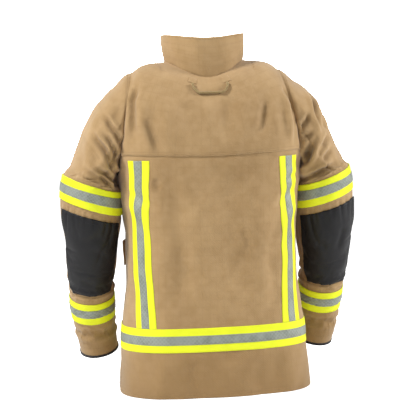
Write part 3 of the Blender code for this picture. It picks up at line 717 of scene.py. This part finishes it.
def metal(name, colour, rough):
    look = Look(name)
    solid = look.solid
    stretched = look.add("Mapping", Vector=solid, Scale=(1.0, 1.0, 0.06)).outputs[0]
    brushed = look.noise(stretched, 2600, 2)
    dull = look.ramp(look.noise(solid, 260, 4), 0.4, 0.7)
    shade = look.tint(dull, 0.4, colour, tuple(c * 0.6 for c in colour[:3]) + (1.0,))
    bumped = look.bump(brushed, 0.15, 0.0002)
    roughness = look.plus(rough, dull, 0.2)
    return look.finish(Base_Color=shade, Roughness=roughness, Metallic=1.0, Normal=bumped)


TAN, TAN_DARK, TAN_LIGHT = rgb(177, 145, 101), rgb(146, 115, 74), rgb(200, 170, 128)
LOOKS = {  # name: the record's material slot, and the material
    "tan": ("tan_shell", woven("tan_shell", TAN, TAN_DARK, TAN_LIGHT, ripstop=130, darker_at_bottom=0.65)),
    "webbing": (
        "tan_webbing",
        woven("tan_webbing", rgb(150, 126, 82), rgb(118, 96, 58), rgb(180, 158, 112), 420, 20),
    ),
    "thread": (
        "tan_webbing",
        woven("tan_thread", rgb(134, 102, 64), rgb(106, 80, 48), rgb(168, 136, 96), 1500, 25),
    ),
    "black": ("black_reinforcement", coated("black_reinforcement", rgb(22, 21, 23), rgb(40, 39, 42))),
    "cord": (
        "black_reinforcement",
        woven("black_cord", rgb(22, 22, 24), rgb(14, 14, 16), rgb(48, 48, 50), 600, 30),
    ),
    "lime": ("lime_tape", tape("lime_tape", rgb(232, 240, 40), rgb(206, 216, 24))),
    "lime_thread": ("lime_tape", tape("lime_thread", rgb(214, 224, 44), rgb(184, 194, 30))),
    "silver": ("silver_stripe", mirror_stripe("silver_stripe")),
    "knit": (
        "black_knit",
        woven("black_knit", rgb(34, 34, 36), rgb(20, 20, 22), rgb(66, 66, 70), 320, 12, 0.8),
    ),
    "quilt": (
        "quilted_liner",
        woven("quilted_liner", rgb(196, 184, 150), rgb(168, 154, 118), rgb(220, 210, 180)),
    ),
    "steel": ("steel", metal("steel", rgb(186, 188, 190), 0.26)),
    "brass": ("steel", metal("dark_zip_metal", rgb(120, 112, 92), 0.34)),
}


# ---- building pieces ----


def mesh_piece(name, verts, faces, look, corner_uv):
    mesh = bpy.data.meshes.new(name)
    mesh.from_pydata(np.asarray(verts, float).reshape(-1, 3).tolist(), [], [list(map(int, f)) for f in faces])
    layer = mesh.uv_layers.new(name="cloth")
    layer.data.foreach_set("uv", np.asarray(corner_uv, np.float32).ravel())
    return dressed(name, mesh, look)


def dressed(name, mesh, look):
    """A smooth piece with its look."""
    mesh.shade_smooth()
    made = bpy.data.objects.new(name, mesh)
    bpy.context.scene.collection.objects.link(made)
    slot, material = LOOKS[look]
    mesh.materials.clear()
    mesh.materials.append(material)
    return made


def cover(made, body, *nodes):
    """Puts a piece on a body, in place of the CAD's plain solids."""
    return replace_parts(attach(made, body), *nodes)


def lengths(points):
    return np.concatenate([[0], np.cumsum(np.linalg.norm(np.diff(points, axis=0), axis=-1))])


def inset(values, share):
    """Adds a value just inside each end, so that an edge can be rounded over."""
    first, last = values[0], values[-1]
    step = (last - first) * share
    return np.concatenate([[first, first + step], values[1:-1], [last - step, last]])


EDGE_DROP = 0.42  # how far each skin falls away at an edge, as a share of the thickness


def sheet(name, surface, u, v, look, thick, base=0.0, wrap=False, hole=None, edge=0.001):
    """Cloth between two skins with rounded edges. surface(u, v, off) gives points, and base is the inner skin."""
    u, v = np.asarray(u, float), np.asarray(v, float)
    uu, vv = np.meshgrid(u, v)
    size = surface(uu, vv, base)
    wide = max(lengths(size[len(v) // 2])[-1], 1e-3)
    tall = max(lengths(size[:, len(u) // 2])[-1], 1e-3)
    v = inset(v, min(edge / tall, 0.2))
    u = u if wrap else inset(u, min(edge / wide, 0.2))
    uu, vv = np.meshgrid(u, v)
    drop = np.zeros(uu.shape)
    drop[0] = drop[-1] = EDGE_DROP * thick
    if not wrap:
        drop[:, 0] = drop[:, -1] = EDGE_DROP * thick
    outer, inner = surface(uu, vv, base + thick - drop), surface(uu, vv, base + drop)
    rows, columns = uu.shape
    cell = np.arange(rows * columns).reshape(rows, columns)
    right = np.roll(cell, -1, 1) if wrap else cell[:, 1:]
    left = cell if wrap else cell[:, :-1]
    keep = np.ones((rows - 1, left.shape[1]), bool)
    if hole is not None:
        centre = (outer[:-1] + outer[1:])[:, : left.shape[1]] / 2
        keep = ~hole(centre)
    quads = np.stack([left[:-1], right[:-1], right[1:], left[1:]], -1)
    i, j = rows // 2 - 1, left.shape[1] // 2
    a, b, c, d = (outer.reshape(-1, 3)[k] for k in quads[i, j])
    flipped = np.dot(np.cross(c - a, d - b), a - inner.reshape(-1, 3)[quads[i, j][0]]) < 0
    grid_u, grid_v = lengths(outer[rows // 2]), lengths(outer[:, columns // 2])
    if wrap:
        grid_u = np.append(grid_u, grid_u[-1] + grid_u[1] - grid_u[0])
    jj, ii = np.meshgrid(np.arange(left.shape[1]), np.arange(rows - 1))
    corner = [(jj, ii), (jj + 1, ii), (jj + 1, ii + 1), (jj, ii + 1)]
    uv = np.stack([np.stack([grid_u[p], grid_v[q]], -1) for p, q in corner], -2)
    count = rows * columns
    faces = [quads[keep], quads[keep][:, ::-1] + count]
    uvs = [uv[keep], uv[keep][:, ::-1]]
    # rims: wherever a kept quad's edge has no kept neighbour
    for shift, axis, (m, n) in ((-1, 0, (0, 1)), (1, 0, (2, 3)), (-1, 1, (3, 0)), (1, 1, (1, 2))):
        around = np.roll(keep, -shift, axis)
        if not (axis == 1 and wrap):
            index = 0 if shift < 0 else -1
            if axis == 0:
                around[index] = False
            else:
                around[:, index] = False
        open_edge = keep & ~around
        q, w = quads[open_edge], uv[open_edge]
        faces.append(np.stack([q[:, n], q[:, m], q[:, m] + count, q[:, n] + count], -1))
        uvs.append(np.stack([w[:, n], w[:, m], w[:, m], w[:, n]], -2))
    faces, uvs = np.concatenate(faces), np.concatenate(uvs)
    if flipped:
        faces, uvs = faces[:, ::-1], uvs[:, ::-1]
    verts = np.concatenate([outer.reshape(-1, 3), inner.reshape(-1, 3)])
    used = np.unique(faces)
    renumber = np.zeros(len(verts), int)
    renumber[used] = np.arange(len(used))
    return mesh_piece(name, verts[used], renumber[faces], look, uvs)


def spread(low, high, steps):
    return np.linspace(low, high, steps + 1)


SEAMS = {}  # stitches by (group, look): arrays of start, end and up


STITCH_PITCH, STITCH_LENGTH, THREAD_RADIUS = 0.0042, 0.0029, 0.00042


def stitch(group, surface, u, v, off, look="thread"):
    """A row of stitches over a surface along the line of points u, v."""
    u, v = np.broadcast_arrays(np.asarray(u, float), np.asarray(v, float))
    dense = np.linspace(0, 1, 40 * len(u))
    grid = np.linspace(0, 1, len(u))
    uu, vv = np.interp(dense, grid, u), np.interp(dense, grid, v)
    points = surface(uu, vv, off)
    run = lengths(points)
    starts = np.arange(STITCH_PITCH / 2, run[-1] - STITCH_LENGTH, STITCH_PITCH)
    if not len(starts):
        return
    ends = (starts, starts + STITCH_LENGTH)
    first, last = (np.stack([np.interp(at, run, axis) for axis in points.T], -1) for at in ends)
    m = np.interp(starts + STITCH_LENGTH / 2, run, dense)
    mu, mv = np.interp(m, dense, uu), np.interp(m, dense, vv)
    up = unit(surface(mu, mv, off + 0.001) - surface(mu, mv, off))
    SEAMS.setdefault((group, look), []).append((first, last, up))


def sew(group, look, name):
    """Makes the group's stitches one mesh of small tapered threads."""
    start, end, up = (np.concatenate(part) for part in zip(*SEAMS[(group, look)]))
    along = end - start
    side = unit(np.cross(along, up)) * THREAD_RADIUS
    up = up * THREAD_RADIUS
    rings = []
    for f, size in ((0.0, 0.45), (0.22, 1.0), (0.78, 1.0), (1.0, 0.45)):
        centre = start + along * f - up * (0.35 if size > 0.9 else 0.9)
        rings.append(np.stack([centre + way * size for way in (side, up, -side, -up)], 1))
    verts = np.stack(rings, 1)
    base = (np.arange(len(start)) * 16)[:, None, None]
    quads = []
    for r in range(3):
        for k in range(4):
            n = (k + 1) % 4
            quads.append((r * 4 + k, r * 4 + n, r * 4 + 4 + n, r * 4 + 4 + k))
    quads += [(3, 2, 1, 0), (12, 13, 14, 15)]
    faces = (base + np.array(quads)[None]).reshape(-1, 4)
    flat = np.tile(np.array(((0, 0), (0.001, 0), (0.001, 0.003), (0, 0.003))), (len(faces), 1))
    return mesh_piece(name, verts, faces[:, ::-1], look, flat)


def tube(name, points, radius, look, cyclic=False, resolution=3):
    data = bpy.data.curves.new(name, "CURVE")
    data.dimensions = "3D"
    data.bevel_depth = radius
    data.bevel_resolution = resolution
    data.use_fill_caps = not cyclic
    data.resolution_u = 4
    spline = data.splines.new("POLY")
    spline.points.add(len(points) - 1)
    for point, co in zip(spline.points, points):
        point.co = (*co, 1.0)
    spline.use_cyclic_u = cyclic
    curve = bpy.data.objects.new(name + "_curve", data)
    bpy.context.scene.collection.objects.link(curve)
    bpy.context.view_layer.update()
    mesh = bpy.data.meshes.new_from_object(curve.evaluated_get(bpy.context.evaluated_depsgraph_get()))
    bpy.data.objects.remove(curve)
    mesh.name = name
    return dressed(name, mesh, look)


# ---- body: shell, liner, collar ----


def front_surface(side):
    """The front as u from the closing edge (0) to the side seam (1), and v the body's section."""
    seam = 0.014 if side > 0 else PI - 0.014

    def at(u, v, off=0.0):
        edge = body_angle(v, np.full(np.shape(v), side * FRONT_EDGE), -1)
        if side < 0:
            edge = np.where(edge < 0, edge + 2 * PI, edge)
        return cloth_body(edge + (seam - edge) * u, v, off)

    return at


def arm_hole(points):
    """Where the body's cloth is cut away, a little inside the armhole seam."""
    return (hole_share(points) < 0.86) & (np.abs(points[..., 0]) > 0.12)


def mirrored(surface):
    """The same surface on the wearer's right."""
    return lambda a, t, off=0.0: surface(PI - a, t, off)


def shell():
    u = spread(-0.006, PI + 0.006, 150)
    low, high = spread(0, YOKE + 0.06, 120), spread(YOKE, NECK, 84)
    back = sheet("back_panel_cloth", cloth_body, u, low, "tan", SHELL, -0.001, hole=arm_hole)
    yoke = sheet("back_yoke_cloth", cloth_body, u, high, "tan", SHELL, 0.0008, hole=arm_hole)
    cover(back, "torso", "back_panel")
    cover(yoke, "torso", "back_yoke")
    stitch("torso", cloth_body, u[4:-4], YOKE + 0.024, 0.0028)
    stitch("torso", cloth_body, u[4:-4], YOKE + 0.075, 0.0028)
    for word, side in SIDES:
        front = sheet(
            f"{word}_front_cloth", front_surface(side), spread(0, 1, 76), spread(0, NECK, 180), "tan", SHELL,
            -SHELL, hole=arm_hole,
        )
        cover(front, "torso", f"{word}_front_panel")
        body = cloth_body if side > 0 else mirrored(cloth_body)
        for scale in (1.05, 1.11):
            stitch("torso", body, *armhole_line(ROUND[::6], scale), 0.0024)
        seam = 0.0 if side > 0 else PI
        for inset_by in (0.008, 0.04):
            stitch("torso", cloth_body, seam + side * inset_by, spread(0.06, 3.35, 60), 0.001)
        stitch("torso", front_surface(side), 0.1, spread(0.05, NECK - 0.1, 60), 0.0)
    ring_u = spread(-PI / 2 + 0.25, 1.5 * PI - 0.25, 120)
    for t in (0.1, 0.155):
        stitch("torso", cloth_body, ring_u, t, 0.001)
    facing = sheet("hem_facing_cloth", cloth_body, ring_u, spread(0.0, 0.22, 8), "webbing", 0.0018, -0.0056)
    cover(facing, "torso", "hem_facing")


def quilting(a, t, off=0.0):
    """The liner, puffed between stitched diamonds."""
    points = body_surface(a, t)
    around, up = a * 0.17, points[..., 2]
    p, q = (around + up) / QUILT_PITCH, (around - up) / QUILT_PITCH
    puff = QUILT_PUFF * (np.abs(np.sin(p * PI)) * np.abs(np.sin(q * PI))) ** 0.45
    return cloth_body(a, t, off) - normals(body_surface, a, t) * puff[..., None]


def lining():
    first = -PI / 2 + 0.22
    u = spread(first, PI - first, 180)
    v = spread(0.4, NECK - 0.06, 130)
    liner = sheet("thermal_liner_cloth", quilting, u, v, "quilt", 0.0016, -0.01, hole=arm_hole)
    cover(liner, "torso", "thermal_liner", "moisture_barrier")
    for edge, bottom, top in (("hem", 0.36, 0.48), ("neck", NECK - 0.14, NECK - 0.02)):
        name = f"liner_{edge}_binding"
        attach(sheet(name, cloth_body, u[::2], spread(bottom, top, 3), "cord", 0.0032, -0.0128), "torso")


def neck_parts():
    start = -PI / 2 + 0.05
    u = spread(start, PI - start, 150)
    made = sheet("collar_cloth", collar, u, spread(0, 1, 22), "tan", 0.0034, -0.003, edge=0.0016)
    cover(made, "torso", "collar")
    inner = sheet("collar_lining_cloth", collar, u, spread(0.04, 0.97, 20), "cord", 0.0022, -0.0058)
    cover(inner, "torso", "collar_lining")
    for share in (0.08, 0.3, 0.52, 0.74, 0.95):
        stitch("torso", collar, u[2:-2], share, 0.0004)
    tab_u = [body_angle(np.array(NECK), x, -1) for x in (-0.062, 0.0452)]
    tab = sheet("throat_tab_cloth", collar, spread(*tab_u, 36), spread(0.22, 0.7, 14), "tan", 0.0026, 0.0015)
    cover(tab, "throat_tab", "throat_tab")
    low, high = tab_u[0] + 0.05, tab_u[1] - 0.05
    for share in (0.255, 0.665):
        stitch("throat_tab", collar, spread(low, high, 20), share, 0.0041)
    for at in (low, high):
        stitch("throat_tab", collar, at, spread(0.255, 0.665, 12), 0.0041)


# ---- trim ----


# width, thickness, height over the cloth, look and thread of the tape and of the stripe on it
LAYERS = ((TAPE, 0.001, 0.0012, "lime", "lime_thread"), (STRIPE, 0.0007, 0.0021, "silver", "thread"))


def hem_trim():
    u = spread(-PI / 2 + 0.085, 1.5 * PI - 0.085, 260)
    for name, (width, thick, base, look, thread) in zip(("hem_band", "hem_stripe"), LAYERS):
        low, high = (bisect(lambda k: through(BODY, k)[..., 0], 0, 3, 0.122 + e * width / 2) for e in (-1, 1))
        made = sheet(name + "_tape", cloth_body, u, spread(low, high, 12), look, thick, base, edge=0.0006)
        cover(made, "torso", name)
        step = (high - low) * 0.0022 / width
        for t in (low + step, high - step):
            stitch("torso", cloth_body, u[2:-2], t, base + thick, thread)


def brace_surface(facing, side, x_top, x_bottom, top, bottom):
    def at(w, v, off=0.0):
        z = bottom + (top - bottom) * v
        t = bisect(lambda k: body_surface(np.full(np.shape(z), 0.8 * facing), k)[..., 2], 0, NECK, z)
        middle = body_angle(t, side * (x_bottom + (x_top - x_bottom) * v), facing)
        reach = body_surface(middle, t) - (0, SHIFT, 0)
        return cloth_body(middle + w / np.hypot(reach[..., 0], reach[..., 1]), t, off)

    return at


BRACES = (("back", 1, 0.16, 0.155, 0.1475, 90), ("front", -1, 0.146, 0.146, 0.345, 44))


def braces():
    for word, side in SIDES:
        for view, facing, x_top, x_bottom, bottom, rows in BRACES:
            at = brace_surface(facing, side, x_top, x_bottom, BRACE_TOP, bottom)
            for name, (width, thick, base, look, thread) in zip(("brace", "brace_stripe"), LAYERS):
                node = f"{word}_{view}_{name}"
                across, up = spread(-width / 2, width / 2, 12), spread(0, 1, rows)
                made = sheet(f"{node}_tape", at, across, up, look, thick, base, edge=0.0006)
                cover(made, "torso", node)
                for w in (-1, 1):
                    edge = w * (width / 2 - 0.0022)
                    stitch("torso", at, edge, spread(0.004, 0.996, 50), base + thick, thread)


# ---- sleeves ----

SPLIT = 5.75  # the sleeve's upper and lower cloth meet here, under the upper band


def across_shoulder(made):
    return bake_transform(made)


def across_elbow(made):
    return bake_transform(made)


def pad_height(sleeve):
    """The pad as u round the sleeve and v down it, its lower corners rounded and its face a little crowned."""

    def at(u, v, off=0.0):
        corner = smooth(v, 0.86, 1.0) ** 2 * 0.09
        a = PAD_FROM + (PAD_TO - PAD_FROM) * (corner + (1 - 2 * corner) * u)
        s = PAD_TOP + (PAD_BOTTOM - PAD_TOP) * v
        crown = 0.0022 * np.sin(np.clip(u, 0, 1) * PI) ** 0.5 * np.sin(np.clip(v, 0, 1) * PI) ** 0.5
        return sleeve(a, s, off + np.where(off > 0.002, crown, 0.0))

    return at


def pad_stitches(group, pad):
    """Two rows round the pad's sides and foot, and across its top."""
    for edge in (0.018, 0.055):
        near, far = np.full(31, edge), np.full(31, 1 - edge)
        along = spread(edge, 1 - edge, 30)
        u, v = np.concatenate([near, along, far]), np.concatenate([along, far, along[::-1]])
        stitch(group, pad, u, v, 0.0032, "cord")
        stitch(group, pad, along, edge, 0.0032, "cord")


def sleeve_bands(word, sleeve, around):
    loop = np.append(around, 2 * PI)
    for name, (top, bottom) in (("upper_band", UPPER_BAND), ("forearm_band", FOREARM_BAND)):
        part = "shoulder" if name == "upper_band" else "forearm"
        step = (bottom - top) * 0.044
        for end, (width, thick, base, look, thread) in zip(("", "_stripe"), LAYERS):
            trim = (bottom - top) * (1 - width / TAPE) / 2
            base += 0.0004 if end else 0.0
            low, high = top + trim, bottom - trim
            made = sheet(
                f"{word}_{name}{end}_tape", sleeve, around, spread(low, high, 12), look, thick, base, wrap=True,
                edge=0.0006,
            )
            for s in (low + step, high - step):
                stitch(f"{word}_{part}", sleeve, loop[::2], s, base + thick, thread)
            if part == "shoulder":
                across_shoulder(made)
            else:
                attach(made, f"{word}_forearm")
            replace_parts(made, f"{word}_{name}{end}")


def one_sleeve(word, side):
    around = np.linspace(0, 2 * PI, 120, endpoint=False)
    fine = np.linspace(0, 2 * PI, 352, endpoint=False)
    sleeve = Sleeve(side)

    def wrapped(name, low, high, steps, look, thick, base, every=1, edge=0.001):
        at = spread(low, high, steps)
        return sheet(f"{word}_{name}", sleeve, around[::every], at, look, thick, base, wrap=True, edge=edge)

    def ribbed(a, s, off=0.0):
        return sleeve(a, s, off + 0.0007 * np.cos(a * 44))

    upper = wrapped("sleeve_top_cloth", 0.0, SPLIT, 78, "tan", SHELL, -SHELL)
    lower = wrapped("sleeve_low_cloth", SPLIT, CUFF_EDGE + 0.04, 90, "tan", SHELL, -SHELL)
    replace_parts(across_shoulder(upper), f"{word}_sleeve_cap")
    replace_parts(across_elbow(lower), f"{word}_upper_sleeve", f"{word}_forearm_sleeve")
    inner_top = wrapped("sleeve_top_lining", 0.1, SPLIT, 30, "quilt", 0.002, -0.0075, every=2)
    inner_low = wrapped("sleeve_low_lining", SPLIT, 11.5, 34, "quilt", 0.002, -0.0075, every=2)
    across_shoulder(inner_top)
    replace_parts(across_elbow(inner_low), f"{word}_upper_sleeve_liner", f"{word}_forearm_liner")
    binding = wrapped("cuff_edge", CUFF_EDGE, CUFF, 5, "cord", 0.0042, -0.0026, edge=0.0018)
    cover(binding, f"{word}_forearm", f"{word}_cuff_binding")
    at = spread(11.25, 11.97, 8)
    knit = sheet(f"{word}_wristlet_knit", ribbed, fine, at, "knit", 0.0024, -0.01, wrap=True)
    cover(knit, f"{word}_forearm", f"{word}_wristlet")
    pad = pad_height(sleeve)
    across, down = spread(0, 1, 70), spread(0, 1, 84)
    made = sheet(f"{word}_elbow_pad_cover", pad, across, down, "black", 0.0028, 0.0004, edge=0.0012)
    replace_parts(across_elbow(made), f"{word}_elbow_pad_upper", f"{word}_elbow_pad_lower")
    pad_stitches(f"{word}_elbow", pad)
    sleeve_bands(word, sleeve, around)
    loop = np.append(around, 2 * PI)
    for part, s in (("shoulder", 0.2), ("shoulder", 0.38), ("forearm", 11.66)):
        stitch(f"{word}_{part}", sleeve, loop[::2], s, 0.0002)
    stitch(f"{word}_shoulder", sleeve, 2.86, spread(0.7, 4.8, 40), 0.0002)


# ---- front: zip, flaps, pockets ----

FRONT_OUT = unit(np.array((0.0, -1.0, FRONT_SLOPE)))


def front_line(x, z, off=0.0):
    flat = vec(x, FRONT_SLOPE * z - 0.15 + SHIFT, z)
    return flat + FRONT_OUT * np.asarray(off)[..., None]


def flap_surface(x, z, off=0.0):
    """The storm flap bows out over the zip and is a little uneven along its free edge."""
    share = np.clip(1 - (x / FLAP_HALF) ** 2, 0, 1)
    rise = 0.0048 + 0.0062 * share**0.35
    wave = (0.0009 * np.sin(z * 31 + 1.0) + 0.0006 * np.sin(z * 67)) * share**0.5
    return front_line(x, z, rise + wave + off)


def closing():
    x = FLAP_HALF * np.sin(spread(-PI / 2, PI / 2, 30))
    flap = sheet("storm_flap_cloth", flap_surface, x, spread(0.006, FLAP_TOP, 150), "tan", 0.0026, 0.0)
    cover(flap, "storm_flap", "storm_flap")
    z = spread(0.011, FLAP_TOP - 0.005, 60)
    for at in (-0.0345, -0.0285, 0.0345, 0.0275):
        stitch("storm_flap", flap_surface, at, z, 0.0027)
    for at in (0.0115, 0.018, FLAP_TOP - 0.012, FLAP_TOP - 0.006):
        stitch("storm_flap", flap_surface, spread(-0.034, 0.034, 20), at, 0.0027)
    for word, side in SIDES:
        x, z = spread(side * 0.0036, side * 0.022, 8), spread(0.022, ZIP_TOP, 100)
        made = sheet(f"zip_tape_{word}_cloth", front_line, x, z, "cord", 0.0011, -0.0046)
        cover(made, "torso", f"zip_tape_{word}")
        bead = spread(0.022, ZIP_TOP, 200)
        offs = np.full(len(bead), -0.004)
        cord = tube(f"zip_cord_{word}", front_line(side * 0.0044, bead, offs), 0.0012, "cord", resolution=2)
        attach(cord, "torso")
        stitch("torso", front_line, side * 0.0165, bead[::4], -0.0034, "cord")
    zip_teeth()


def zip_teeth():
    """Small blocks of metal on both sides of the opening, each side's between the other's."""
    corners = ((0.0009, -0.005), (0.0042, -0.005), (0.0042, -0.0022), (0.0009, -0.0022))
    order = ((0, 1, 2, 3), (7, 6, 5, 4), (0, 4, 5, 1), (1, 5, 6, 2), (2, 6, 7, 3), (3, 7, 4, 0))
    half, pitch = 0.0009, 0.003
    verts, faces = [], []
    for side, start in ((1, 0.024), (-1, 0.0255)):
        for middle in np.arange(start, ZIP_TOP - 0.001, pitch):
            n = len(verts)
            for z in (middle - half, middle + half):
                verts += [tuple(np.ravel(front_line(side * x, z, off))) for x, off in corners]
            faces += [[n + k for k in (q if side > 0 else q[::-1])] for q in order]
    made = mesh_piece("zip_teeth", verts, faces, "brass", [(0, 0)] * 4 * len(faces))
    made.data.polygons.foreach_set("use_smooth", [False] * len(faces))
    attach(made, "torso")


def pocket_surface(x_from, x_to, bottom, top, depth):
    """A bellows pocket's outside, as u across and v up: steep pleated sides and a slightly baggy face."""

    def at(u, v, off=0.0):
        side = smooth(np.minimum(u, 1 - u), 0.0, 0.075)
        foot = smooth(v, 0.0, 0.075)
        sag = 0.0022 * np.sin(u * PI) * np.sin(v * 5.0 + 0.8) + 0.0012 * np.sin(u * 9 + v * 6)
        wall = np.minimum(side, foot)
        pleat = 0.0022 * bump(wall, 0.3, 0.42, 0.12)
        height = 0.0016 + (depth + sag) * wall - pleat
        a, t = over(x_from + (x_to - x_from) * u, bottom + (top - bottom) * v, -1)
        return cloth_body(a, t, height + off)

    return at


def flap_over(x_from, x_to, top, drop, depth):
    """A pocket's flap, as u across and v down from its sewn edge."""

    def at(u, v, off=0.0):
        z = top + 0.016 - (drop + 0.016) * v
        rise = smooth(z, top + 0.016, top - 0.001)
        height = 0.0018 + (depth + 0.0027) * rise + 0.0008 * np.sin(u * 7 + 1) * v
        a, t = over(x_from + (x_to - x_from) * u, z, -1)
        return cloth_body(a, t, height + off)

    return at


# pocket, flap, then the span of x and of z, the depth, and how far the flap hangs
POCKETS = (
    ("left_cargo_pocket", "left_pocket_flap", 0.052, 0.16, 0.163, 0.318, 0.022, 0.055),
    ("right_cargo_pocket", "right_pocket_flap", -0.16, -0.052, 0.163, 0.318, 0.022, 0.055),
    ("radio_pocket", "radio_pocket_flap", 0.048, 0.112, 0.4, 0.51, 0.026, 0.045),
)


def pockets():
    across = np.unique(np.concatenate([spread(0, 0.1, 16), spread(0.1, 0.9, 34), spread(0.9, 1, 16)]))
    up = np.unique(np.concatenate([spread(0, 0.1, 16), spread(0.1, 1, 34)]))
    for node, flap_node, x_from, x_to, bottom, top, depth, drop in POCKETS:
        at = pocket_surface(x_from, x_to, bottom, top, depth)
        made = sheet(f"{node}_cloth", at, across, up, "tan", 0.0016, 0.0)
        cover(made, "torso", node)
        for u in (0.016, 0.984):
            stitch("torso", at, u, spread(0.02, 0.99, 30), 0.0016)
        for v, end in ((0.012, 0.02), (0.93, 0.09), (0.97, 0.09)):
            stitch("torso", at, spread(end, 1 - end, 30), v, 0.0016)
        over_it = flap_over(x_from - 0.002, x_to + 0.002, top, drop, depth)
        flap = sheet(f"{flap_node}_cloth", over_it, spread(0, 1, 48), spread(0, 1, 34), "tan", 0.0022, 0.0)
        cover(flap, flap_node, flap_node)
        for v in (0.955, 0.89, 0.07):
            stitch(flap_node, over_it, spread(0.03, 0.97, 30), v, 0.0023)
        for u in (0.025, 0.975):
            stitch(flap_node, over_it, u, spread(0.08, 0.955, 24), 0.0023)


# ---- small fittings ----


def hang_loop():
    a = spread(0, PI, 40)
    spots = over(LOOP_HALF * np.cos(a), LOOP_Z - LOOP_SAG * np.minimum(1.0, 1.35 * np.sin(a)), 1)
    path = body_surface(*spots) + normals(body_surface, *spots) * 0.006
    loop = tube("hang_loop_cord", path, 0.0027, "webbing", resolution=4)
    cover(loop, "hang_loop", "hang_loop")
    for word, side in SIDES:
        spot = over(side * LOOP_HALF, LOOP_Z + 0.002, 1)
        around = spot[0] + spread(-0.09, 0.09, 8)
        along = spot[1] + spread(0.02, 0.38, 6)
        made = sheet(f"hang_loop_anchor_{word}", cloth_body, around, along, "tan", 0.0016, 0.0026)
        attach(made, "torso")


def torch_tab():
    x, z, radius = -0.085, 0.5, 0.0042
    spot = over(x, z, -1)
    wall = body_surface(*spot)
    normal = normals(body_surface, *spot)
    across = unit(np.array((normal[1], -normal[0], 0.0))) * -1
    up = np.cross(normal, across)
    up = up if up[2] > 0 else -up
    bar = wall + normal * (0.0016 + radius)
    a = spread(0, PI, 24)
    ring_points = [bar + across * 0.0135 * k for k in (1, 0.4, -0.4, -1)]
    ring_points += [bar - up * (0.004 + 0.015 * math.sin(b)) - across * 0.015 * math.cos(b) for b in a]
    ring_made = tube("torch_d_ring", ring_points, 0.0016, "steel", cyclic=True, resolution=4)
    cover(ring_made, "torch_ring", "torch_ring")

    def strap(u, v, off=0.0):
        """The tab that holds the ring, folded round its bar: u across, v along from top to top."""
        turn = np.clip((v - 0.4) / 0.3, 0, 1) * PI
        straight = np.clip((0.4 - v) / 0.4, 0, 1) * 0.028 + np.clip((v - 0.7) / 0.3, 0, 1) * 0.012
        reach = radius - 0.0007 + off
        n = -reach * np.cos(turn)
        h = -reach * np.sin(turn) + straight
        return bar + normal * n[..., None] + up * h[..., None] + across * (u * 0.011)[..., None]

    tab = sheet("torch_tab_webbing", strap, spread(-1, 1, 10), spread(0, 1, 60), "webbing", 0.001, -0.0004)
    cover(tab, "torso", "torch_tab")
    patch_u = spread(-0.018, 0.018, 10)

    def patch(u, v, off=0.0):
        a, t = over(x + u, z + v, -1)
        return cloth_body(a, t, off)

    reinforced = sheet("torch_tab_patch", patch, patch_u, spread(0.012, 0.044, 8), "tan", 0.0012, 0.0002)
    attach(reinforced, "torso")
    for v in (0.016, 0.04):
        stitch("torso", patch, spread(-0.016, 0.016, 8), v, 0.0015)


def zip_looks():
    """The slider and its pull keep their CAD solids and only take a material."""
    for node, look in (("zip_slider", "brass"), ("zip_pull", "cord")):
        part = frame["nodes"][node]
        part.data.materials.clear()
        part.data.materials.append(LOOKS[look][1])


def sewing():
    bodies = ("torso", "storm_flap", "throat_tab", "left_pocket_flap", "right_pocket_flap", "radio_pocket_flap")
    for group, look in sorted(SEAMS):
        name = f"{group}_stitches" + ("" if look == "thread" else f"_{look}")
        made = sew(group, look, name)
        word, _, part = group.partition("_")
        if group in bodies:
            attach(made, group)
        elif part == "shoulder":
            across_shoulder(made)
        elif part == "elbow":
            across_elbow(made)
        else:
            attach(made, f"{word}_forearm")


# ---- the studio ----


def camera_only(tree, dim, bright):
    """A strength that is bright to the camera looking straight at a surface, and dim for the light it gives."""
    seen = tree.nodes.new("ShaderNodeLightPath").outputs["Is Camera Ray"]
    chosen = tree.nodes.new("ShaderNodeMapRange")
    chosen.inputs["To Min"].default_value, chosen.inputs["To Max"].default_value = dim, bright
    tree.links.new(seen, chosen.inputs["Value"])
    return chosen.outputs[0]


def studio():
    bpy.context.scene.view_settings.view_transform = "Standard"
    bpy.ops.mesh.primitive_plane_add(size=40, location=(0, 0, -0.0005))
    floor = bpy.context.object
    floor.name = "floor"
    look = Look("floor")
    glow = camera_only(look.tree, 0.0, 0.82)
    paper = rgb(246, 246, 246)
    finish = look.finish(Base_Color=paper, Roughness=0.9, Emission_Color=paper, Emission_Strength=glow)
    floor.data.materials.append(finish)
    world = bpy.data.worlds.new("studio")
    bpy.context.scene.world = world
    world.use_nodes = True
    background = world.node_tree.nodes["Background"]
    background.inputs[0].default_value = (1, 1, 1, 1)
    world.node_tree.links.new(camera_only(world.node_tree, AMBIENT, 9.0), background.inputs[1])
    for name, place, size, power in LIGHTS:
        data = bpy.data.lights.new(name, "AREA")
        data.size = size
        data.energy = power
        light = bpy.data.objects.new(name, data)
        light.location = place
        light.rotation_euler = (Vector(place) - Vector((0, 0, 0.4))).to_track_quat("Z", "Y").to_euler()
        bpy.context.scene.collection.objects.link(light)
    lens = bpy.data.cameras.new("camera")
    lens.lens = CAMERA_LENS
    camera = bpy.data.objects.new("camera", lens)
    azimuth = math.radians(CAMERA_AZIMUTH)
    camera.location = (math.sin(azimuth) * CAMERA_REACH, -math.cos(azimuth) * CAMERA_REACH, CAMERA_HEIGHT)
    turn = (camera.location - Vector(CAMERA_AIM)).to_track_quat("Z", "Y")
    camera.rotation_euler = (turn @ Quaternion((0, 0, 1), math.radians(CAMERA_ROLL))).to_euler()
    bpy.context.scene.collection.objects.link(camera)
    bpy.context.scene.camera = camera


shell()
lining()
neck_parts()
hem_trim()
braces()
for word, side in SIDES:
    one_sleeve(word, side)
closing()
pockets()
hang_loop()
torch_tab()
zip_looks()
sewing()
studio()
